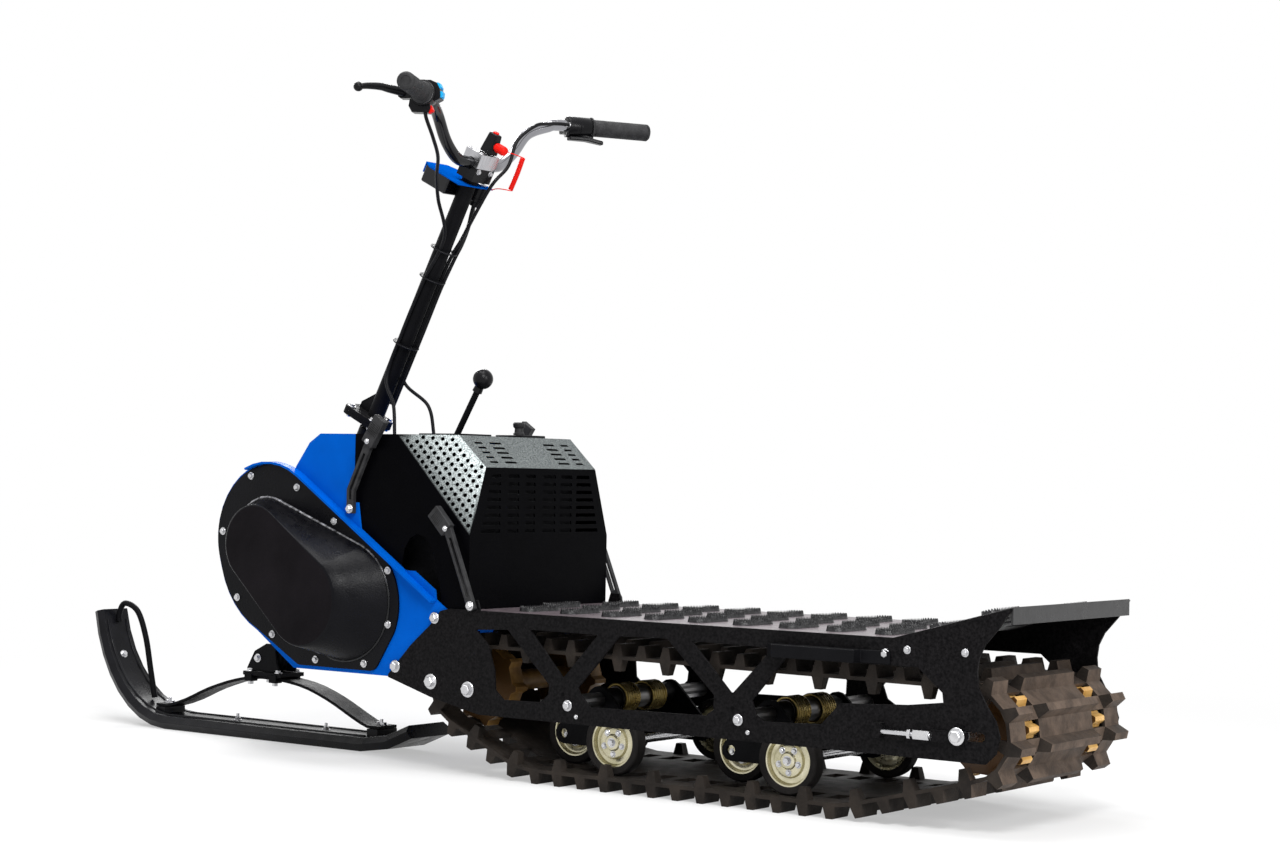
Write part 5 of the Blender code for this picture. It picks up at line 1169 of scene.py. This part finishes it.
# Deck: punched ovals with a toothed rim turned up round each hole
OVAL = (0.0475, 0.0175)     # half length across the deck, half width
HOLE = (OVAL[0] - 0.0042, OVAL[1] - 0.0042)
ROW_PITCH = 0.0903
DECK_TOP = 0.295
SLOPE_RUN, SLOPE_RISE = 0.204, 0.057
RIM_POINTS = 88             # two to each tooth
# Rings of the rim from outside to inside: ring 0 outer or 1 inner, how far it is pulled
# towards the other, height, and how much each tooth adds
RIM = ((0, 0, 0.0001, 0), (0, 0.22, 0.0036, 0), (0, 0.5, 0.0066, 0.003),
       (1, 0.16, 0.0064, 0.003), (1, 0, 0.0032, 0), (1, 0, -0.002, 0))


def oval_places():
    """Centres of the punchings on the flat bed and on the rear slope, with their tilt."""
    slope = atan2(SLOPE_RISE, SLOPE_RUN)
    places = []
    for k in range(-1, 9):
        for x, y in ((0.048 + ROW_PITCH * k, 0.12), (0.048 + ROW_PITCH * k, -0.12),
                     (0.093 + ROW_PITCH * k, 0)):
            if 0.02 < x < 0.835:
                places.append(move(at(x, y, DECK_TOP)))
    for x, y in ((-0.05, 0.12), (-0.05, -0.12), (-0.095, 0), (-0.14, 0.12), (-0.14, -0.12)):
        rise = DECK_TOP - x * SLOPE_RISE / SLOPE_RUN
        places.append(move(at(x, y, rise)) @ spin(slope, "Y"))
    return places


def stadium(half_long, half_wide, steps):
    """Long oval with round ends, its length along local Y."""
    straight = half_long - half_wide
    return arc((0, straight), half_wide, 0, 180, steps) + \
        arc((0, -straight), half_wide, 180, 360, steps)


def evened(outline, count):
    """The same closed outline with points at equal steps."""
    points = [Vector(p) for p in outline]
    points.append(points[0])
    total = lengths(points)
    result = []
    k = 0
    for i in range(count):
        share = total[-1] * i / count
        while total[k + 1] < share:
            k += 1
        span = max(total[k + 1] - total[k], 1e-9)
        result.append(points[k].lerp(points[k + 1], (share - total[k]) / span))
    return result


def deck():
    """Deck with its ovals cut out, and the toothed rims as a piece of their own."""
    cutter = bmesh.new()
    rims = bmesh.new()
    ovals = [evened(stadium(*size, 12), RIM_POINTS) for size in (OVAL, HOLE)]
    for place in oval_places():
        prism([tuple(p) for p in stadium(*HOLE, 8)], -0.02, 0.01, place, into=cutter)
        rings = []
        for which, pull, height, tooth in RIM:
            row = []
            for i, (spot, other) in enumerate(zip(ovals[which], ovals[1 - which])):
                spot = spot.lerp(other, pull)
                lift = height + (tooth if i % 2 else -tooth * 0.5)
                row.append(rims.verts.new(place @ Vector((spot.x, spot.y, lift))))
            rings.append(row)
        skin(rims, rings + rings[:1])
    carved("deck", DECK, "chassis", cutter, 0.0006)
    piece("deck_teeth", rims, TEETH, "chassis", 25)


deck()


# Bolts on the body
def body_bolts():
    """Bolts by x and z on the cover's flange, then by x, z and size on both side plates."""
    cover = ((1.4061, 0.5238), (1.2843, 0.5047), (1.1861, 0.4435), (1.0499, 0.3569),
             (1.0469, 0.2586), (1.1039, 0.1837), (1.2261, 0.1833), (1.3405, 0.2241),
             (1.4365, 0.29), (1.4792, 0.4157))
    bm = bmesh.new()
    rng = random.Random(11)
    centre = Vector((1.26, 0.36))
    for spot in map(Vector, cover):
        spot += (centre - spot).normalized() * 0.002
        bolt_head(bm, upright(0.2103) @ move((*spot, 0)), 0.005, turn=rng.random())
    piece("cover_bolts", bm, STEEL, "chassis", 30)
    plate = ((0.9378, 0.2769, 0.0072), (1.0288, 0.1852, 0.0078), (0.9435, 0.1636, 0.0096),
             (0.8571, 0.1554, 0.0098), (0.6343, 0.1433, 0.0066), (0.2851, 0.1459, 0.0066),
             (0.0133, 0.269, 0.0056), (-0.0256, 0.2775, 0.0044), (-0.1262, 0.279, 0.0044),
             (0.6157, 0.1255, 0.0026), (0.2661, 0.127, 0.0026))
    bm = bmesh.new()
    for side in (-1, 1):
        for x, z, size in plate:
            bolt_head(bm, upright(PLATE_FACE, side) @ move((x, z, 0)), size, turn=rng.random())
        # Dark discs for holes in the side plates: painted shade
        for x, z in ((0.6447, 0.162), (0.2961, 0.164)):
            rod(bm, 0.0034, 0, 0.0002, 16, upright(PLATE_FACE, side) @ move((x, z, 0)), 1)
    piece("plate_bolts", bm, (STEEL, HOLE_SHADE), "chassis", 30)


body_bolts()


# Ski: bolts and studs, ribs along both edges, cheeks beside the saddle
SKI_TOP = 0.026
SKI_BEND = 1.8              # where the toe starts to rise
TOE = (2.038, 0.227)        # its tip
TOE_STEEP = radians(78)


def ski_rise(start, end):
    """Places and directions along the middle of the toe's inner face, from shares of it."""
    found = []
    run = TOE[0] - SKI_BEND
    for i in range(13):
        angle = TOE_STEEP * (start + (end - start) * i / 12)
        ahead = Vector((run * cos(angle) / sin(TOE_STEEP), 0,
                        TOE[1] * sin(angle) / (1 - cos(TOE_STEEP)))).normalized()
        base = at(SKI_BEND + run * sin(angle) / sin(TOE_STEEP), 0,
                  TOE[1] * (1 - cos(angle)) / (1 - cos(TOE_STEEP)))
        found.append((base + Vector((-ahead.z, 0, ahead.x)) * SKI_TOP, ahead))
    return found


def ski_hardware():
    bm = bmesh.new()
    middle = AXIS_FOOT[0] - (0.1233 - AXIS_FOOT[1]) * sin(AXIS_LEAN) / cos(AXIS_LEAN)
    for forward in (-0.042, 0.037):
        for side in (-0.026, 0.026):
            bolt_head(bm, move(at(middle + forward, side, 0.1313)), 0.0058)
    for x in (1.248, 1.838):
        for forward in (-0.006, 0.008):
            bolt_head(bm, move(at(x + forward, 0, 0.0475)), 0.0055)
        turned([(0, 0), (0.0035, 0), (0.0035, 0.01), (0.003, 0.011), (0, 0.011)],
               16, place=move(at(x + 0.001, 0, 0.0475)), into=bm)
    for x in (1.395, 1.64):
        place = move(at(x, 0, 0.0262))
        rod(bm, 0.003, 0, 0.014, 14, place)
        bolt_head(bm, place, 0.0062)
    for side in (-1, 1):
        bolt_head(bm, upright(0.026, side) @ move((middle + 0.016, 0.158, 0)), 0.006)
        for forward in (-0.034, 0.034):
            rod(bm, 0.0062, -0.006, 0, 6, move(at(middle + forward, side * 0.026, 0.1115)))
    spot, ahead = ski_rise(0.72, 0.72)[0]
    bolt_head(bm, facing((-ahead.z, 0, ahead.x), spot + Vector((0, 0.004, 0))), 0.006)
    piece("ski_bolts", bm, STEEL, "steering", 30)
    bm = bmesh.new()
    for side in (-1, 1):
        rail = [at(x, side * 0.032, SKI_TOP) for x in (1.262, 1.34, 1.46, 1.6, 1.72)]
        for spot, _ in ski_rise(0, 0.94):
            share = max(0, (spot.x + SHIFT - SKI_BEND) / (TOE[0] - SKI_BEND))
            rail.append(spot + Vector((0, side * (0.032 - 0.009 * share), 0)))
        sweep(smooth_path(rail, 0.008), 0.0034, 10, into=bm)
    piece("ski_ribs", bm, SKI, "steering", 50)
    bm = bmesh.new()
    cheek = [(middle + x, z) for x, z in (
        (-0.045, 0.1316), (0.046, 0.1316), (0.046, 0.138), (0.026, 0.172), (-0.006, 0.188),
        (-0.03, 0.188), (-0.036, 0.15))]
    for side in (-1, 1):
        prism(cheek, 0.0215, 0.0258, upright(0, side), into=bm)
        for forward in (-0.034, 0.034):
            block(at(middle + forward - 0.01, side * 0.026 - 0.009, 0.1116),
                  at(middle + forward + 0.01, side * 0.026 + 0.009, 0.127), into=bm)
    piece("saddle_cheeks", bm, BLACK, "steering", 30, 0.001)


ski_hardware()

for node, material, body, width in (
        ("leaf_spring", BLACK, "steering", 0.0012), ("head_tube", BLACK, "chassis", 0.0006),
        ("front_bogie_arms", BLACK, "chassis", 0.0008),
        ("rear_bogie_arms", BLACK, "chassis", 0.0008),
        ("drive_sprockets", SHADED_AMBER, "chassis", 0.0012),
        ("rear_sprockets", AMBER, "chassis", 0.0012),
        ("step_bar_left", BLACK, "chassis", 0.0014),
        ("step_bar_right", BLACK, "chassis", 0.0014),
        ("track", RUBBER, "chassis", 0.0011)):
    rounded(node, material, body, width)


def rear_axle():
    """Bright axle ends and rods on dark slide plates, with a bolt head and a lock nut."""
    bm = cad_mesh("rear_axle")
    for face in bm.faces:
        reach = [abs(v.co.y) for v in face.verts]
        slide = min(reach) > PLATE_FACE and max(reach) < 0.2165
        face.material_index = 1 if slide else 0
    for side in (-1, 1):
        bolt_head(bm, facing((0, side, 0), at(-0.121, side * 0.2228, 0.153)), 0.0095)
        rod(bm, 0.0076, 0, 0.0055, 6, facing((1, 0, 0), at(-0.04, side * 0.2188, 0.15)))
    form("rear_axle", bm, (STEEL, PLATE), "chassis", 35, 0.0005, raw=True)


rear_axle()


def toe_loop():
    route = [at(2, 0, 0.207), at(2.001, 0, 0.223), at(1.985, 0, 0.246), at(1.945, 0, 0.232),
             at(1.918, 0, 0.18), at(1.9, 0, 0.11), at(1.886, 0, 0.055)]
    form("ski_loop", sweep(smooth_path(route, 0.006), 0.006, 20), BLACK, "steering", 60)


toe_loop()


# Floor, light and backdrop
def seen_ray(tree):
    """1 where the white background is seen, also in metal or through glass."""
    rays = tree.nodes.new("ShaderNodeLightPath").outputs
    total = rays["Is Camera Ray"]
    for name in ("Is Glossy Ray", "Is Transmission Ray"):
        total = combined(tree, "MAXIMUM", total, rays[name])
    return total


def plain_white(tree, kind, strength):
    """White emission or background."""
    node = tree.nodes.new(kind)
    node.inputs["Color"].default_value = (1, 1, 1, 1)
    node.inputs["Strength"].default_value = strength
    return node


def make_stage():
    material = bpy.data.materials.new("floor")
    material.use_nodes = True
    tree = material.node_tree
    shader = tree.nodes["Principled BSDF"]
    for name, value in (("Base Color", (0.86, 0.86, 0.86, 1)), ("Roughness", 0.9),
                        ("Specular IOR Level", 0)):
        shader.inputs[name].default_value = value
    glow = plain_white(tree, "ShaderNodeEmission", 1)
    away = tree.nodes.new("ShaderNodeVectorMath")
    away.operation = "LENGTH"
    tree.links.new(source(tree, PLACE), away.inputs[0])
    fade = spread(tree, away.outputs["Value"], 1, 2.6, 0.45, 1)
    fade.node.interpolation_type = "SMOOTHSTEP"
    mix_shaders(tree, combined(tree, "MULTIPLY", seen_ray(tree), fade), shader, glow,
                "Material Output")
    mesh = bpy.data.meshes.new("floor")
    reach = 14
    mesh.from_pydata([(-reach, -reach, 0), (reach, -reach, 0), (reach, reach, 0),
                      (-reach, reach, 0)], [], [(0, 1, 2, 3)])
    mesh.materials.append(material)
    new_object("floor", mesh)


def make_world():
    world = bpy.data.worlds.new("world")
    bpy.context.scene.world = world
    world.use_nodes = True
    tree = world.node_tree
    tree.nodes["Background"].inputs["Color"].default_value = (1, 1, 1, 1)
    tree.nodes["Background"].inputs["Strength"].default_value = 0.45
    bright = plain_white(tree, "ShaderNodeBackground", 1)
    mix_shaders(tree, seen_ray(tree), tree.nodes["Background"], bright, "World Output")


def lamp(name, place, target, size, power):
    """Area light at a place, turned to a target."""
    data = bpy.data.lights.new(name, "AREA")
    data.shape = "RECTANGLE"
    data.size, data.size_y = size
    data.energy = power
    new_object(name, data).matrix_world = facing(Vector(place) - Vector(target), place)


make_stage()
make_world()
lamp("key", (-2.6, 2.6, 3.4), (0, 0, 0.4), (1.6, 1.1), 120)
lamp("top", (0.2, 0.4, 3.6), (0, 0, 0.3), (2.4, 1.6), 70)
lamp("back", (2.8, -2.4, 2.4), (0, 0, 0.5), (1.6, 1.2), 55)
lamp("tail", (-3.6, 0.9, 1.5), (-0.9, 0, 0.2), (0.9, 0.9), 45)
bpy.context.scene.view_settings.view_transform = "Standard"
